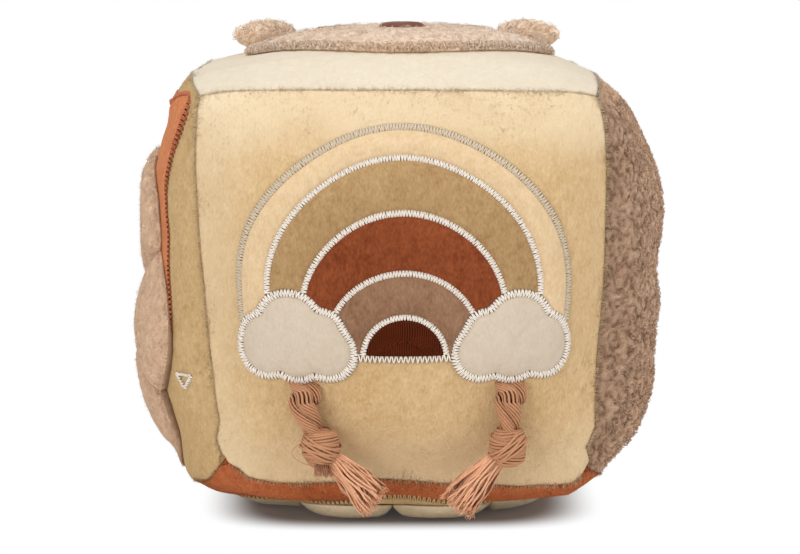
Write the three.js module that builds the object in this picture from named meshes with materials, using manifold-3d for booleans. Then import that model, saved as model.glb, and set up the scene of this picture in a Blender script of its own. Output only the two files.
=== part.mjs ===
import * as THREE from 'three';
import { mergeVertices } from 'three/addons/utils/BufferGeometryUtils.js';
import Module from 'manifold-3d';

// Stuffed fabric activity block for a baby: six plush panels round a soft filling,
// each panel with its own sewn picture, two rope tassels and two bear ears.
// Millimetres, +Z up, the rainbow panel faces -Y, the block stands on z = 0.

const wasm = await Module();
wasm.setup();

// Block sizes
const seamWidth = 108;
const seamDepth = 108;
const seamHeight = 107;
const frontCrown = 14;
const backCrown = 16;
const leftCrown = 16;
const rightCrown = 20;
const topCrown = 9.5;
const bottomCrown = 9;
const upperCornerPull = 2;
const lowerCornerPull = 4.5;
const seamDip = 2;
const seamDipWidth = 4;
const coverThickness = 2.4;
const seamGap = 0.35;
const liningGap = 0.5;

// Sewn layers
const layGap = 0.5;
const sideGap = 0.35;
const fabricThickness = 1.2;
const stitchWidth = 2.6;
const stitchHeight = 1.6;

// Rainbow, seen square to the front panel
const rainbowRadius = 42;
// each arc: its radius and its middle's height above the block's middle, as shares of that radius
const arcShares = [
  [1, 0.036],
  [0.829, 0.036],
  [0.629, -0.088],
  [0.483, -0.305],
  [0.264, -0.362],
];

// Clouds
const cloudOffset = 28.3;
const cloudHeight = -11.5;
const cloudWidth = 30;
const cloudCrown = 1.2;
// each lobe: sideways, up and radius as shares of the cloud's width
const cloudLobeShares = [
  [0.267, -0.09, 0.233],
  [-0.267, -0.09, 0.233],
  [0.043, 0.167, 0.253],
  [-0.217, 0.093, 0.18],
  [0.273, 0.04, 0.18],
  [0, -0.12, 0.233],
];

// Rope tassels
const ropeDiameter = 8;
const knotDiameter = 10.4;
const knotDepthShare = 0.92;
const skirtLength = 15;
const skirtNeckDiameter = 5.6;
const skirtEndDiameter = 10;
const skirtWaistShare = 0.9;
const ropeStandOff = 0.5;
const tasselSpacing = 54.5;
const tasselBelowCloud = 15.45;
const tasselDrop = 12.6;
// sideways places as shares of the spacing, and the bend's drop as a share of the knot's
const tasselShares = {
  left: { top: -0.488, bend: -0.4385, bendDrop: 0.524, knot: -0.4092 },
  right: { top: 0.512, bend: 0.5064, bendDrop: 0.508, knot: 0.5028 },
};
const skirtLean = { left: 44, right: -41 };

// Bear face and ears on the top panel
const faceWidth = 86;
const faceDepth = 74;
const facePad = 3.6;
const faceRim = 2;
const noseWidth = 13;
const noseDepth = 8;
const noseBack = -8;
const noseHeight = 1.2;
const eyeSpacing = 36;
const eyeBack = 21;
const eyeRadius = 4.6;
const eyeStartShare = 1.15;
const eyeSweepShare = 0.7;
const earAngle = 35.93;
const earPlaceShare = 1.1055;
const earWidth = 18.5;
const earHeight = 7.4;
const earThickness = 7.6;
const earTurn = 38;
const earLean = 12;
const earLift = 0.7;

// Flower and rayed patch on the left panel
const flowerHeight = -11;
const flowerRadius = 41;
const flowerPetalCount = 6;
const flowerMiddleShare = 0.62;
const flowerFullShare = 1.22;
const flowerPad = 4.4;
const flowerRim = 2.4;
const flowerCentreRadius = 9;
const flowerCentrePad = 4;
const sunRadius = 44.1;
const sunWaves = [4.7, -3.5, -3.8, -3.8, -4.4];
const markWidth = 5;
const markAcross = 46.5;
const markHeight = -25;
const markThread = 0.9;

// Tufted dimple on the right panel
const tuftAcross = -8;
const tuftHeight = -9;
const tuftDepth = 8.5;
const tuftReach = 14;
const tuftFoldCount = 5;
const tuftFoldShare = 0.35;
const tuftBarLength = 6;
const tuftRoomShare = 0.6;

// Daisy patch under the block, which the block stands on
const daisyRadius = 45;
const daisyPetalCount = 8;
const daisyMiddleShare = 0.64;
const daisyFullShare = 1.25;
const daisyTurn = 18;
const daisyPad = 3.9;
const daisyRim = 2;
const daisyCentreRadius = 12;
const daisyDiscRadius = 49;
const standCut = 0.5;

// Rattle capsule in the filling
const rattleRadius = 15;
const rattleHeight = 21;
const rattleWall = 1.6;
const rattleLip = 0.4;
const ballDiameter = 9;
const ballGap = 0.3;
const pocketGap = 0.4;

// Where the rings of points lie, as shares of an outline's reach
const thinShares = [0.6, 1];
const rimShares = [1];
const petalShares = [0.5, 0.85, 1];
const petalUnderShares = [0.5, 1];
const domeShares = [0.6, 0.85, 1];
const discShares = [0.35, 0.7, 0.88, 1];
const sunShares = [0.5, 0.74, 0.88, 1];
const faceShares = [0.4, 0.75, 0.93, 1];
const faceUnderShares = [0.4, 0.75, 1];
const earShares = [0.4, 0.75, 0.94];

// Exponents and counts that set the character of the surfaces
const crownPower = { front: 3, back: 3, left: 3.6, right: 3.4, top: 3, bottom: 4 };
const cornerPower = 8;
const slopeShare = 0.001;
const coverCellCount = 12;
const tuftedCellCount = 18;
const fillingCellCount = 12;

// Worked-out places
const halfWidth = seamWidth / 2;
const halfDepth = seamDepth / 2;
const halfHeight = seamHeight / 2;
const daisyLay = layGap + fabricThickness + sideGap;
const lowerSeam = daisyPad - standCut + daisyLay + bottomCrown;
const middleHeight = lowerSeam + halfHeight;
const stitchSide = stitchWidth / 2 + sideGap;
const tasselTop = middleHeight + cloudHeight - tasselBelowCloud;
const arcs = arcShares.map(([radius, height]) => {
  return { radius: rainbowRadius * radius, height: rainbowRadius * height };
});

const sides = {
  front: { out: [0, -1, 0], across: [1, 0, 0], up: [0, 0, 1], crown: frontCrown },
  back: { out: [0, 1, 0], across: [-1, 0, 0], up: [0, 0, 1], crown: backCrown },
  left: { out: [-1, 0, 0], across: [0, -1, 0], up: [0, 0, 1], crown: leftCrown },
  right: { out: [1, 0, 0], across: [0, 1, 0], up: [0, 0, 1], crown: rightCrown },
  top: { out: [0, 0, 1], across: [1, 0, 0], up: [0, 1, 0], crown: topCrown },
  bottom: { out: [0, 0, -1], across: [1, 0, 0], up: [0, -1, 0], crown: bottomCrown },
};
for (const [name, side] of Object.entries(sides)) {
  side.name = name;
  side.out = new THREE.Vector3(...side.out);
  side.across = new THREE.Vector3(...side.across);
  side.up = new THREE.Vector3(...side.up);
  side.halfOut = halfAlong(side.out);
  side.halfAcross = halfAlong(side.across);
  side.halfUp = halfAlong(side.up);
}

function halfAlong(direction) {
  const halves = new THREE.Vector3(halfWidth, halfDepth, halfHeight);
  return Math.abs(direction.dot(halves));
}

// Depth of the sewn dimple: a round hollow with folds running out of it
function tuft(side, u, v) {
  if (side.name !== 'right') {
    return 0;
  }
  const across = u * side.halfAcross - tuftAcross;
  const up = v * side.halfUp - tuftHeight;
  const reach = Math.hypot(across, up) / tuftReach;
  const fold = 1 + tuftFoldShare * Math.min(1, reach) * Math.cos(tuftFoldCount * Math.atan2(up, across));
  const inside = (1 - Math.abs(u) ** cornerPower) * (1 - Math.abs(v) ** cornerPower);
  return tuftDepth * fold * inside * Math.exp(-0.5 * reach * reach);
}

// A direction shared by neighbouring panels along their seam, so that both are cut alike
function inward(side, u, v) {
  const lean = side.out.clone();
  lean.addScaledVector(side.across, Math.sign(u) * Math.abs(u) ** cornerPower);
  lean.addScaledVector(side.up, Math.sign(v) * Math.abs(v) ** cornerPower);
  return lean.normalize().negate();
}

// Point of a panel's outer surface: a flat square with a crown, its corners and seams drawn in
function panelPoint(side, u, v) {
  const power = crownPower[side.name];
  const crown = side.crown * (1 - Math.abs(u) ** power) * (1 - Math.abs(v) ** power);
  const point = side.out.clone().multiplyScalar(side.halfOut + crown - tuft(side, u, v));
  point.addScaledVector(side.across, u * side.halfAcross);
  point.addScaledVector(side.up, v * side.halfUp);
  const pull = (point.z > 0 ? upperCornerPull : lowerCornerPull) * Math.abs(u * v) ** cornerPower;
  point.addScaledVector(side.out, -pull);
  point.addScaledVector(side.across, -pull * Math.sign(u));
  point.addScaledVector(side.up, -pull * Math.sign(v));
  const nearU = Math.exp(-(((1 - Math.abs(u)) * side.halfAcross / seamDipWidth) ** 2));
  const nearV = Math.exp(-(((1 - Math.abs(v)) * side.halfUp / seamDipWidth) ** 2));
  const dip = seamDip * (1 - (1 - nearU) * (1 - nearV));
  point.addScaledVector(inward(side, u, v), dip);
  point.z += middleHeight;
  return point;
}

function panelNormal(side, u, v) {
  const alongU = panelPoint(side, u + slopeShare, v).sub(panelPoint(side, u - slopeShare, v));
  const alongV = panelPoint(side, u, v + slopeShare).sub(panelPoint(side, u, v - slopeShare));
  const normal = alongU.cross(alongV).normalize();
  return normal.dot(side.out) < 0 ? normal.negate() : normal;
}

// Point over a panel, from lengths across and up its middle and a height off its surface
function overPanel(side, across, up, height) {
  const u = across / side.halfAcross;
  const v = up / side.halfUp;
  return panelPoint(side, u, v).addScaledVector(panelNormal(side, u, v), height);
}

// An outline moved outward, square to itself, as a new reach by angle
function movedReach(reach, aside) {
  return (angle) => {
    const slope = (reach(angle + slopeShare) - reach(angle - slopeShare)) / (2 * slopeShare * reach(angle));
    return reach(angle) + aside * Math.hypot(1, slope);
  };
}

// Places along an outline round a middle
function outlinePlaces(middle, reach, turnCount) {
  const places = [];
  for (let k = 0; k < turnCount; k += 1) {
    const angle = 2 * Math.PI * k / turnCount;
    const far = reach(angle);
    places.push([middle[0] + far * Math.cos(angle), middle[1] + far * Math.sin(angle)]);
  }
  return places;
}

// Closed body from corner points and faces, turned so that its faces look out
function solid(points, faces) {
  let volume = 0;
  for (const [a, b, c] of faces) {
    volume += points[a].dot(points[b].clone().cross(points[c]));
  }
  const index = faces.flatMap(([a, b, c]) => (volume < 0 ? [a, c, b] : [a, b, c]));
  const geometry = new THREE.BufferGeometry().setFromPoints(points);
  geometry.setIndex(index);
  const merged = mergeVertices(geometry);
  merged.computeVertexNormals();
  return merged;
}

// Two matching sheets of points joined round their edge
function slab(rows, columns, upper, lower) {
  const points = [];
  const faces = [];
  for (const sheet of [upper, lower]) {
    for (let i = 0; i <= rows; i += 1) {
      for (let j = 0; j <= columns; j += 1) {
        points.push(sheet(i / rows, j / columns));
      }
    }
  }
  const at = (layer, i, j) => layer * (rows + 1) * (columns + 1) + i * (columns + 1) + j;
  const quad = (a, b, c, d) => faces.push([a, b, c], [a, c, d]);
  for (let i = 0; i < rows; i += 1) {
    for (let j = 0; j < columns; j += 1) {
      quad(at(0, i, j), at(0, i + 1, j), at(0, i + 1, j + 1), at(0, i, j + 1));
      quad(at(1, i + 1, j + 1), at(1, i + 1, j), at(1, i, j), at(1, i, j + 1));
    }
  }
  for (let i = 0; i < rows; i += 1) {
    quad(at(0, i, 0), at(1, i, 0), at(1, i + 1, 0), at(0, i + 1, 0));
    quad(at(0, i + 1, columns), at(1, i + 1, columns), at(1, i, columns), at(0, i, columns));
  }
  for (let j = 0; j < columns; j += 1) {
    quad(at(0, 0, j + 1), at(1, 0, j + 1), at(1, 0, j), at(0, 0, j));
    quad(at(0, rows, j), at(1, rows, j), at(1, rows, j + 1), at(0, rows, j + 1));
  }
  return solid(points, faces);
}

// Rings of points round a middle point, above and below, joined at the rim
function disc(turnCount, upperShares, lowerShares, upper, lower) {
  const points = [];
  const faces = [];
  const rims = [];
  for (const [shares, sheet, flip] of [[upperShares, upper, 1], [lowerShares, lower, 0]]) {
    const middle = points.length;
    points.push(sheet(0, 0));
    for (const share of shares) {
      for (let k = 0; k < turnCount; k += 1) {
        points.push(sheet(2 * Math.PI * k / turnCount, share));
      }
    }
    const at = (ring, k) => middle + 1 + ring * turnCount + (k % turnCount);
    const add = (a, b, c) => faces.push(flip ? [a, b, c] : [a, c, b]);
    for (let k = 0; k < turnCount; k += 1) {
      add(middle, at(0, k), at(0, k + 1));
      for (let ring = 0; ring < shares.length - 1; ring += 1) {
        add(at(ring, k), at(ring + 1, k), at(ring + 1, k + 1));
        add(at(ring, k), at(ring + 1, k + 1), at(ring, k + 1));
      }
    }
    rims.push((k) => at(shares.length - 1, k));
  }
  for (let k = 0; k < turnCount; k += 1) {
    faces.push([rims[0](k), rims[1](k), rims[1](k + 1)]);
    faces.push([rims[0](k), rims[1](k + 1), rims[0](k + 1)]);
  }
  return solid(points, faces);
}

// Sections of four points swept along a path, open with end faces or closed on itself
function swept(count, closed, section) {
  const points = [];
  const faces = [];
  for (let i = 0; i < count; i += 1) {
    points.push(...section(i));
  }
  const last = closed ? count : count - 1;
  for (let i = 0; i < last; i += 1) {
    const next = ((i + 1) % count) * 4;
    for (let k = 0; k < 4; k += 1) {
      const step = (k + 1) % 4;
      faces.push([i * 4 + k, next + k, next + step], [i * 4 + k, next + step, i * 4 + step]);
    }
  }
  if (!closed) {
    const end = (count - 1) * 4;
    faces.push([0, 1, 2], [0, 2, 3], [end, end + 2, end + 1], [end, end + 3, end + 2]);
  }
  return solid(points, faces);
}

// Four corners of a thread ridge's section, narrower on top, from places aside and up
function ridgeSection(at, width, lay, height) {
  const topShare = 0.6;
  const half = width / 2;
  const top = half * topShare;
  return [at(-half, lay), at(half, lay), at(top, lay + height), at(-top, lay + height)];
}

// A low ridge of thread laid over a panel along a line of places
function stitchRidge(side, places, closed, width, lay, height) {
  const count = places.length;
  return swept(count, closed, (i) => {
    const before = closed ? places[(i + count - 1) % count] : places[Math.max(0, i - 1)];
    const after = closed ? places[(i + 1) % count] : places[Math.min(count - 1, i + 1)];
    const along = [after[0] - before[0], after[1] - before[1]];
    const size = Math.hypot(along[0], along[1]);
    const across = [-along[1] / size, along[0] / size];
    const at = (aside, rise) => overPanel(
      side,
      places[i][0] + across[0] * aside,
      places[i][1] + across[1] * aside,
      rise,
    );
    return ridgeSection(at, width, lay, height);
  });
}

// A pad of fabric laid over a panel: outline reach by angle, thickness by share of the reach
function drapedPad(side, middle, reach, lay, thickness, turnCount, upperShares, lowerShares) {
  const place = (angle, share, height) => overPanel(
    side,
    middle[0] + reach(angle) * share * Math.cos(angle),
    middle[1] + reach(angle) * share * Math.sin(angle),
    height,
  );
  const upper = (angle, share) => place(angle, share, lay + thickness(share));
  const lower = (angle, share) => place(angle, share, lay);
  return disc(turnCount, upperShares, lowerShares, upper, lower);
}

// A pad's height, full in the middle and rounded down to its rim
function rounded(full, rim) {
  return (share) => rim + (full - rim) * (1 - share ** 3);
}

const looks = {
  frontPlush: [0xe4caa0, 0.95],
  creamPlush: [0xf4ebd9, 0.95],
  khakiPlush: [0xcdb580, 0.95],
  terracottaPlush: [0xb4603a, 0.95],
  taupePlush: [0xa2826c, 0.95],
  brownTerry: [0xa98b72, 1],
  faceTerry: [0xdcc0a4, 1],
  earTerry: [0xc9a688, 1],
  cloudPlush: [0xe9dfd0, 0.95],
  paleBand: [0xe3cda0, 0.95],
  darkThread: [0x4a1f10, 0.7],
  brownThread: [0x6b3a24, 0.7],
  creamThread: [0xe8e2d6, 0.6],
  tasselCotton: [0xcf9574, 0.8],
  fibreFill: [0xf6f5f1, 1],
  rattleShell: [0xefe9dc, 0.4],
  rattleBead: [0xd9d4c8, 0.3],
};

const block = new THREE.Group();

function add(name, geometry, look) {
  const [color, roughness] = looks[look];
  const material = new THREE.MeshStandardMaterial({ color, roughness, metalness: 0 });
  const mesh = new THREE.Mesh(geometry, material);
  mesh.name = name;
  block.add(mesh);
  return mesh;
}

// Grid lines lie closer toward the seams, and more evenly on the tufted panel
function gridPlace(side, share) {
  const bent = Math.sin(Math.PI * (share - 0.5));
  const even = 2 * share - 1;
  return side.name === 'right' ? (bent + even) / 2 : bent;
}

// Plush panels
function cover(side, cells) {
  const edge = 1 - seamGap / side.halfAcross;
  const spread = (share) => edge * gridPlace(side, share);
  const outer = (s, t) => panelPoint(side, spread(s), spread(t));
  const inner = (s, t) => {
    const u = spread(s);
    const v = spread(t);
    return panelPoint(side, u, v).addScaledVector(inward(side, u, v), coverThickness);
  };
  return slab(cells, cells, outer, inner);
}

function addPanels() {
  const cloth = {
    front: 'frontPlush',
    back: 'khakiPlush',
    left: 'khakiPlush',
    right: 'brownTerry',
    top: 'creamPlush',
    bottom: 'terracottaPlush',
  };
  for (const side of Object.values(sides)) {
    const cells = side.name === 'right' ? tuftedCellCount : coverCellCount;
    add(`${side.name}_panel`, cover(side, cells), cloth[side.name]);
  }
}

// Solids for cutting and back again
function toManifold(geometry) {
  const bare = geometry.clone();
  bare.deleteAttribute('normal');
  bare.deleteAttribute('uv');
  const merged = mergeVertices(bare);
  const mesh = new wasm.Mesh({
    numProp: 3,
    vertProperties: new Float32Array(merged.attributes.position.array),
    triVerts: new Uint32Array(merged.index.array),
  });
  return new wasm.Manifold(mesh);
}

function fromManifold(body) {
  const mesh = body.getMesh();
  const geometry = new THREE.BufferGeometry();
  geometry.setAttribute('position', new THREE.BufferAttribute(mesh.vertProperties, 3));
  geometry.setIndex(new THREE.BufferAttribute(mesh.triVerts, 1));
  geometry.computeVertexNormals();
  return geometry;
}

// Filling: the same surface one lining gap inside the covers, its edges shared by the sides
function fillingBody() {
  const points = [];
  const faces = [];
  const known = new Map();
  const depth = coverThickness + liningGap;
  for (const side of Object.values(sides)) {
    const turned = side.across.clone().cross(side.up).dot(side.out) < 0;
    const at = (i, j) => {
      const corner = side.out.clone().multiplyScalar(fillingCellCount);
      corner.addScaledVector(side.across, 2 * i - fillingCellCount);
      corner.addScaledVector(side.up, 2 * j - fillingCellCount);
      const key = corner.toArray().map(Math.round).join(' ');
      if (!known.has(key)) {
        const u = Math.sin(Math.PI * (i / fillingCellCount - 0.5));
        const v = Math.sin(Math.PI * (j / fillingCellCount - 0.5));
        const point = panelPoint(side, u, v).addScaledVector(inward(side, u, v), depth);
        point.addScaledVector(side.out, -tuftRoomShare * tuft(side, u, v));
        known.set(key, points.length);
        points.push(point);
      }
      return known.get(key);
    };
    const put = (a, b, c) => faces.push(turned ? [a, c, b] : [a, b, c]);
    for (let i = 0; i < fillingCellCount; i += 1) {
      for (let j = 0; j < fillingCellCount; j += 1) {
        put(at(i, j), at(i + 1, j), at(i + 1, j + 1));
        put(at(i, j), at(i + 1, j + 1), at(i, j + 1));
      }
    }
  }
  return toManifold(solid(points, faces));
}

function addFilling() {
  const body = fillingBody();
  const pocketRadius = rattleRadius + pocketGap;
  const pocketHalf = rattleHeight / 2 + pocketGap;
  const pocket = new THREE.CylinderGeometry(pocketRadius, pocketRadius, 2 * pocketHalf, 24);
  pocket.rotateX(Math.PI / 2);
  pocket.translate(0, 0, middleHeight);
  const hollowed = body.subtract(toManifold(pocket));
  const slice = new THREE.BoxGeometry(seamWidth * 2, seamDepth * 2, seamHeight);
  const lift = seamHeight / 2 + liningGap / 2;
  const upperHalf = toManifold(slice.clone().translate(0, 0, middleHeight + lift));
  const lowerHalf = toManifold(slice.clone().translate(0, 0, middleHeight - lift));
  add('filling_upper', fromManifold(hollowed.intersect(upperHalf)), 'fibreFill');
  add('filling_lower', fromManifold(hollowed.intersect(lowerHalf)), 'fibreFill');
}

// Rattle capsule: two cups that meet at the middle, with a loose ball inside
function addRattle() {
  const half = rattleHeight / 2;
  const shoulderShare = 0.72;
  const lip = rattleLip / 2;
  const cup = (sign) => {
    const profile = [
      [0, -half],
      [rattleRadius * shoulderShare, -half],
      [rattleRadius, -half * shoulderShare],
      [rattleRadius, -lip],
      [rattleRadius - rattleWall, -lip],
      [rattleRadius - rattleWall, -half * shoulderShare],
      [rattleRadius * shoulderShare - rattleWall / 2, rattleWall - half],
      [0, rattleWall - half],
    ];
    const outline = profile.map(([radius, height]) => new THREE.Vector2(radius, height));
    const body = new THREE.LatheGeometry(outline, 24);
    body.rotateX(Math.PI / 2);
    if (sign > 0) {
      body.rotateX(Math.PI);
    }
    body.translate(0, 0, middleHeight);
    return body;
  };
  add('rattle_cup_lower', cup(-1), 'rattleShell');
  add('rattle_cup_upper', cup(1), 'rattleShell');
  const ball = new THREE.SphereGeometry(ballDiameter / 2, 12, 8);
  const floor = middleHeight - half + rattleWall + ballGap;
  ball.rotateX(Math.PI / 2);
  ball.translate(0, 0, floor + ballDiameter / 2);
  add('rattle_ball', ball, 'rattleBead');
}

// Cloud outline: lobes joined smoothly, as a reach from the cloud's middle
function cloudReach(angle, mirrored) {
  const smoothPower = 16;
  const facing = mirrored ? Math.PI - angle : angle;
  let sum = 0;
  for (const [asideShare, upShare, radiusShare] of cloudLobeShares) {
    const aside = asideShare * cloudWidth;
    const up = upShare * cloudWidth;
    const radius = radiusShare * cloudWidth;
    const along = aside * Math.cos(facing) + up * Math.sin(facing);
    const off = aside * Math.sin(facing) - up * Math.cos(facing);
    const rest = radius * radius - off * off;
    if (rest > 0) {
      sum += (Math.max(0, along + Math.sqrt(rest)) / cloudWidth) ** smoothPower;
    }
  }
  return cloudWidth * sum ** (1 / smoothPower);
}

// How far a place lies outside the nearer cloud's stitch line
function outsideCloud(across, up) {
  const aside = Math.abs(across) - cloudOffset;
  const rise = up - cloudHeight;
  return Math.hypot(aside, rise) - cloudReach(Math.atan2(rise, aside), false);
}

// Place on a rainbow line: round over the top, then straight down, run from -1 to 1
function arcPlace(arc, run) {
  const quarter = arc.radius * Math.PI / 2;
  const leg = Math.max(0, arc.height - cloudHeight);
  const length = Math.abs(run) * (quarter + leg);
  const turn = Math.min(length, quarter) / arc.radius;
  const drop = Math.max(0, length - quarter);
  const aside = Math.sign(run) * arc.radius * Math.sin(turn);
  return [aside, arc.height + arc.radius * Math.cos(turn) - drop];
}

// The run at which a line comes within a margin of a cloud or of the base line
function runToEnd(line, sign, margin, floor) {
  const halvingCount = 24;
  let free = 0;
  let stopped = 1;
  for (let i = 0; i < halvingCount; i += 1) {
    const middle = (free + stopped) / 2;
    const [across, up] = line(sign * middle);
    const clear = outsideCloud(across, up) > margin && up > floor;
    free = clear ? middle : free;
    stopped = clear ? stopped : middle;
  }
  return sign * free;
}

const baseLine = arcs[4].height;

function insetArc(arc, inset) {
  return { radius: arc.radius + inset, height: arc.height };
}

function addRainbow() {
  const colours = ['paleBand', 'khakiPlush', 'terracottaPlush', 'taupePlush'];
  const names = ['pale', 'khaki', 'terracotta', 'taupe'];
  const lengthCellCount = 20;
  const widthCellCount = 2;
  for (let band = 0; band < 4; band += 1) {
    const outer = insetArc(arcs[band], -stitchSide);
    const inner = insetArc(arcs[band + 1], stitchSide);
    const sheet = (height) => (s, t) => {
      const line = (run) => {
        const a = arcPlace(outer, run);
        const b = arcPlace(inner, run);
        return [a[0] + (b[0] - a[0]) * t, a[1] + (b[1] - a[1]) * t];
      };
      const floor = baseLine + stitchSide;
      const start = runToEnd(line, -1, stitchSide, floor);
      const end = runToEnd(line, 1, stitchSide, floor);
      const [across, up] = line(start + (end - start) * s);
      return overPanel(sides.front, across, up, height);
    };
    const body = slab(lengthCellCount, widthCellCount, sheet(layGap + fabricThickness), sheet(layGap));
    add(`rainbow_band_${names[band]}`, body, colours[band]);
  }
  addRainbowMiddle();
  addRainbowStitches();
}

// Dark half disc in the middle of the rainbow
function addRainbowMiddle() {
  const radius = arcs[4].radius - stitchSide;
  const middleShare = 0.42;
  const floor = stitchSide;
  const middle = [0, baseLine + floor + (radius - floor) * middleShare];
  const reach = (angle) => {
    const lift = middle[1] - baseLine;
    const across = Math.cos(angle);
    const up = Math.sin(angle);
    const round = Math.sqrt(radius * radius - (lift * across) ** 2) - lift * up;
    const flat = up < 0 ? (floor - lift) / up : Infinity;
    return Math.min(round, flat);
  };
  const flatPad = () => fabricThickness;
  const body = drapedPad(sides.front, middle, reach, layGap, flatPad, 24, thinShares, thinShares);
  add('rainbow_middle', body, 'darkThread');
}

function addRainbowStitches() {
  const stepCount = 20;
  const margin = stitchWidth + sideGap;
  arcs.forEach((arc, number) => {
    const line = (run) => arcPlace(arc, run);
    const floor = baseLine + stitchWidth + sideGap;
    const start = runToEnd(line, -1, margin, floor);
    const end = runToEnd(line, 1, margin, floor);
    const places = [];
    for (let i = 0; i < stepCount; i += 1) {
      places.push(line(start + (end - start) * i / (stepCount - 1)));
    }
    const ridge = stitchRidge(sides.front, places, false, stitchWidth, layGap, stitchHeight);
    add(`rainbow_stitch_${number + 1}`, ridge, 'creamThread');
  });
  const baseEnd = runToEnd((run) => [run * cloudOffset, baseLine], 1, margin, baseLine - seamHeight);
  const baseStepCount = 6;
  const places = [];
  for (let i = 0; i < baseStepCount; i += 1) {
    places.push([cloudOffset * baseEnd * (2 * i / (baseStepCount - 1) - 1), baseLine]);
  }
  const ridge = stitchRidge(sides.front, places, false, stitchWidth, layGap, stitchHeight);
  add('rainbow_stitch_base', ridge, 'creamThread');
}

function addClouds() {
  const turnCount = 32;
  for (const name of ['left', 'right']) {
    const mirrored = name === 'left';
    const middle = [mirrored ? -cloudOffset : cloudOffset, cloudHeight];
    const line = (angle) => cloudReach(angle, mirrored);
    const reach = movedReach(line, -stitchSide);
    const pad = rounded(fabricThickness + cloudCrown, fabricThickness);
    const body = drapedPad(sides.front, middle, reach, layGap, pad, turnCount, thinShares, thinShares);
    add(`cloud_${name}`, body, 'cloudPlush');
    const places = outlinePlaces(middle, line, turnCount);
    const ridge = stitchRidge(sides.front, places, true, stitchWidth, layGap, stitchHeight);
    add(`cloud_stitch_${name}`, ridge, 'creamThread');
  }
}

// Tassels: a twisted rope length, a knot and the frayed end below it
function tube(section, path, stepCount) {
  const outline = new THREE.Shape(section);
  return new THREE.ExtrudeGeometry(outline, { steps: stepCount, bevelEnabled: false, extrudePath: path });
}

function ringOutline(radius, corners) {
  const points = [];
  for (let k = 0; k < corners; k += 1) {
    const angle = 2 * Math.PI * k / corners;
    points.push(new THREE.Vector2(radius * Math.cos(angle), radius * Math.sin(angle)));
  }
  return points;
}

function ropeDepth() {
  const front = overPanel(sides.front, cloudOffset, tasselTop - middleHeight, 0);
  return front.y - ropeStandOff - ropeDiameter / 2;
}

function addTassels() {
  const depth = ropeDepth();
  for (const [name, place] of Object.entries(tasselShares)) {
    const at = (aside, drop) => new THREE.Vector3(
      tasselSpacing * aside,
      depth,
      tasselTop - tasselDrop * drop,
    );
    const top = at(place.top, 0);
    const knot = at(place.knot, 1);
    const end = at(place.bend, place.bendDrop);
    addRope(`tassel_rope_${name}`, top, end, knot);
    const ball = new THREE.SphereGeometry(knotDiameter / 2, 14, 10);
    ball.scale(1, knotDepthShare, 1);
    ball.translate(knot.x, knot.y, knot.z);
    add(`tassel_knot_${name}`, ball, 'tasselCotton');
    addSkirt(`tassel_skirt_${name}`, knot, skirtLean[name]);
  }
}

// Rope with a round top about its own hinge, and a hollow end that clears the knot
function addRope(name, top, end, knot) {
  const path = new THREE.QuadraticBezierCurve3(
    top,
    new THREE.Vector3(top.x, top.y, (top.z + end.z) / 2),
    knot,
  );
  const radius = ropeDiameter / 2;
  const shaft = toManifold(tube(ringOutline(radius, 12), path, 5));
  const crown = new THREE.SphereGeometry(radius, 12, 8);
  crown.rotateX(Math.PI / 2);
  crown.translate(top.x, top.y, top.z);
  const clearance = new THREE.SphereGeometry(knotDiameter / 2 + sideGap, 16, 12);
  clearance.translate(knot.x, knot.y, knot.z);
  const body = shaft.add(toManifold(crown)).subtract(toManifold(clearance));
  add(name, fromManifold(body), 'tasselCotton');
}

function addSkirt(name, knot, lean) {
  const turn = THREE.MathUtils.degToRad(lean);
  const along = new THREE.Vector3(Math.sin(turn), 0, -Math.cos(turn));
  const start = knotDiameter / 2 + sideGap;
  const profile = [
    [0, start],
    [skirtNeckDiameter / 2, start],
    [skirtEndDiameter / 2 * skirtWaistShare, start + skirtLength / 2],
    [skirtEndDiameter / 2, start + skirtLength],
    [0, start + skirtLength],
  ];
  const outline = profile.map(([radius, height]) => new THREE.Vector2(radius, height));
  const body = new THREE.LatheGeometry(outline, 12);
  const facing = new THREE.Quaternion();
  facing.setFromUnitVectors(new THREE.Vector3(0, 1, 0), along);
  body.applyQuaternion(facing);
  body.translate(knot.x, knot.y, knot.z);
  add(name, body, 'tasselCotton');
}

// Bear face: a padded oval with a nose and two sleeping eyes
function faceReach(angle) {
  const across = Math.cos(angle) / (faceWidth / 2);
  const up = Math.sin(angle) / (faceDepth / 2);
  return 1 / Math.hypot(across, up);
}

function faceTop(across, up) {
  const share = Math.hypot(across, up) / faceReach(Math.atan2(up, across));
  return layGap + rounded(facePad, faceRim)(share);
}

function addBearFace() {
  const top = sides.top;
  const pad = rounded(facePad, faceRim);
  const face = drapedPad(top, [0, 0], faceReach, layGap, pad, 30, faceShares, faceUnderShares);
  add('bear_face', face, 'faceTerry');
  const lay = faceTop(0, noseBack) + sideGap;
  const noseReach = (angle) => 1 / Math.hypot(
    Math.cos(angle) / (noseWidth / 2),
    Math.sin(angle) / (noseDepth / 2),
  );
  const noseMiddle = [0, noseBack];
  const nosePad = rounded(noseHeight, noseHeight / 2);
  const nose = drapedPad(top, noseMiddle, noseReach, lay, nosePad, 16, thinShares, rimShares);
  add('bear_nose', nose, 'brownThread');
  for (const [name, sign] of [['left', -1], ['right', 1]]) {
    const middle = [sign * eyeSpacing / 2, eyeBack];
    const places = [];
    const stepCount = 9;
    for (let i = 0; i < stepCount; i += 1) {
      const angle = Math.PI * (eyeStartShare + eyeSweepShare * i / (stepCount - 1));
      places.push([middle[0] + eyeRadius * Math.cos(angle), middle[1] + eyeRadius * Math.sin(angle)]);
    }
    const eyeLay = faceTop(middle[0], middle[1] - eyeRadius) + sideGap;
    const eye = stitchRidge(top, places, false, stitchWidth / 2, eyeLay, noseHeight / 2);
    add(`bear_eye_${name}`, eye, 'brownThread');
  }
}

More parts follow.
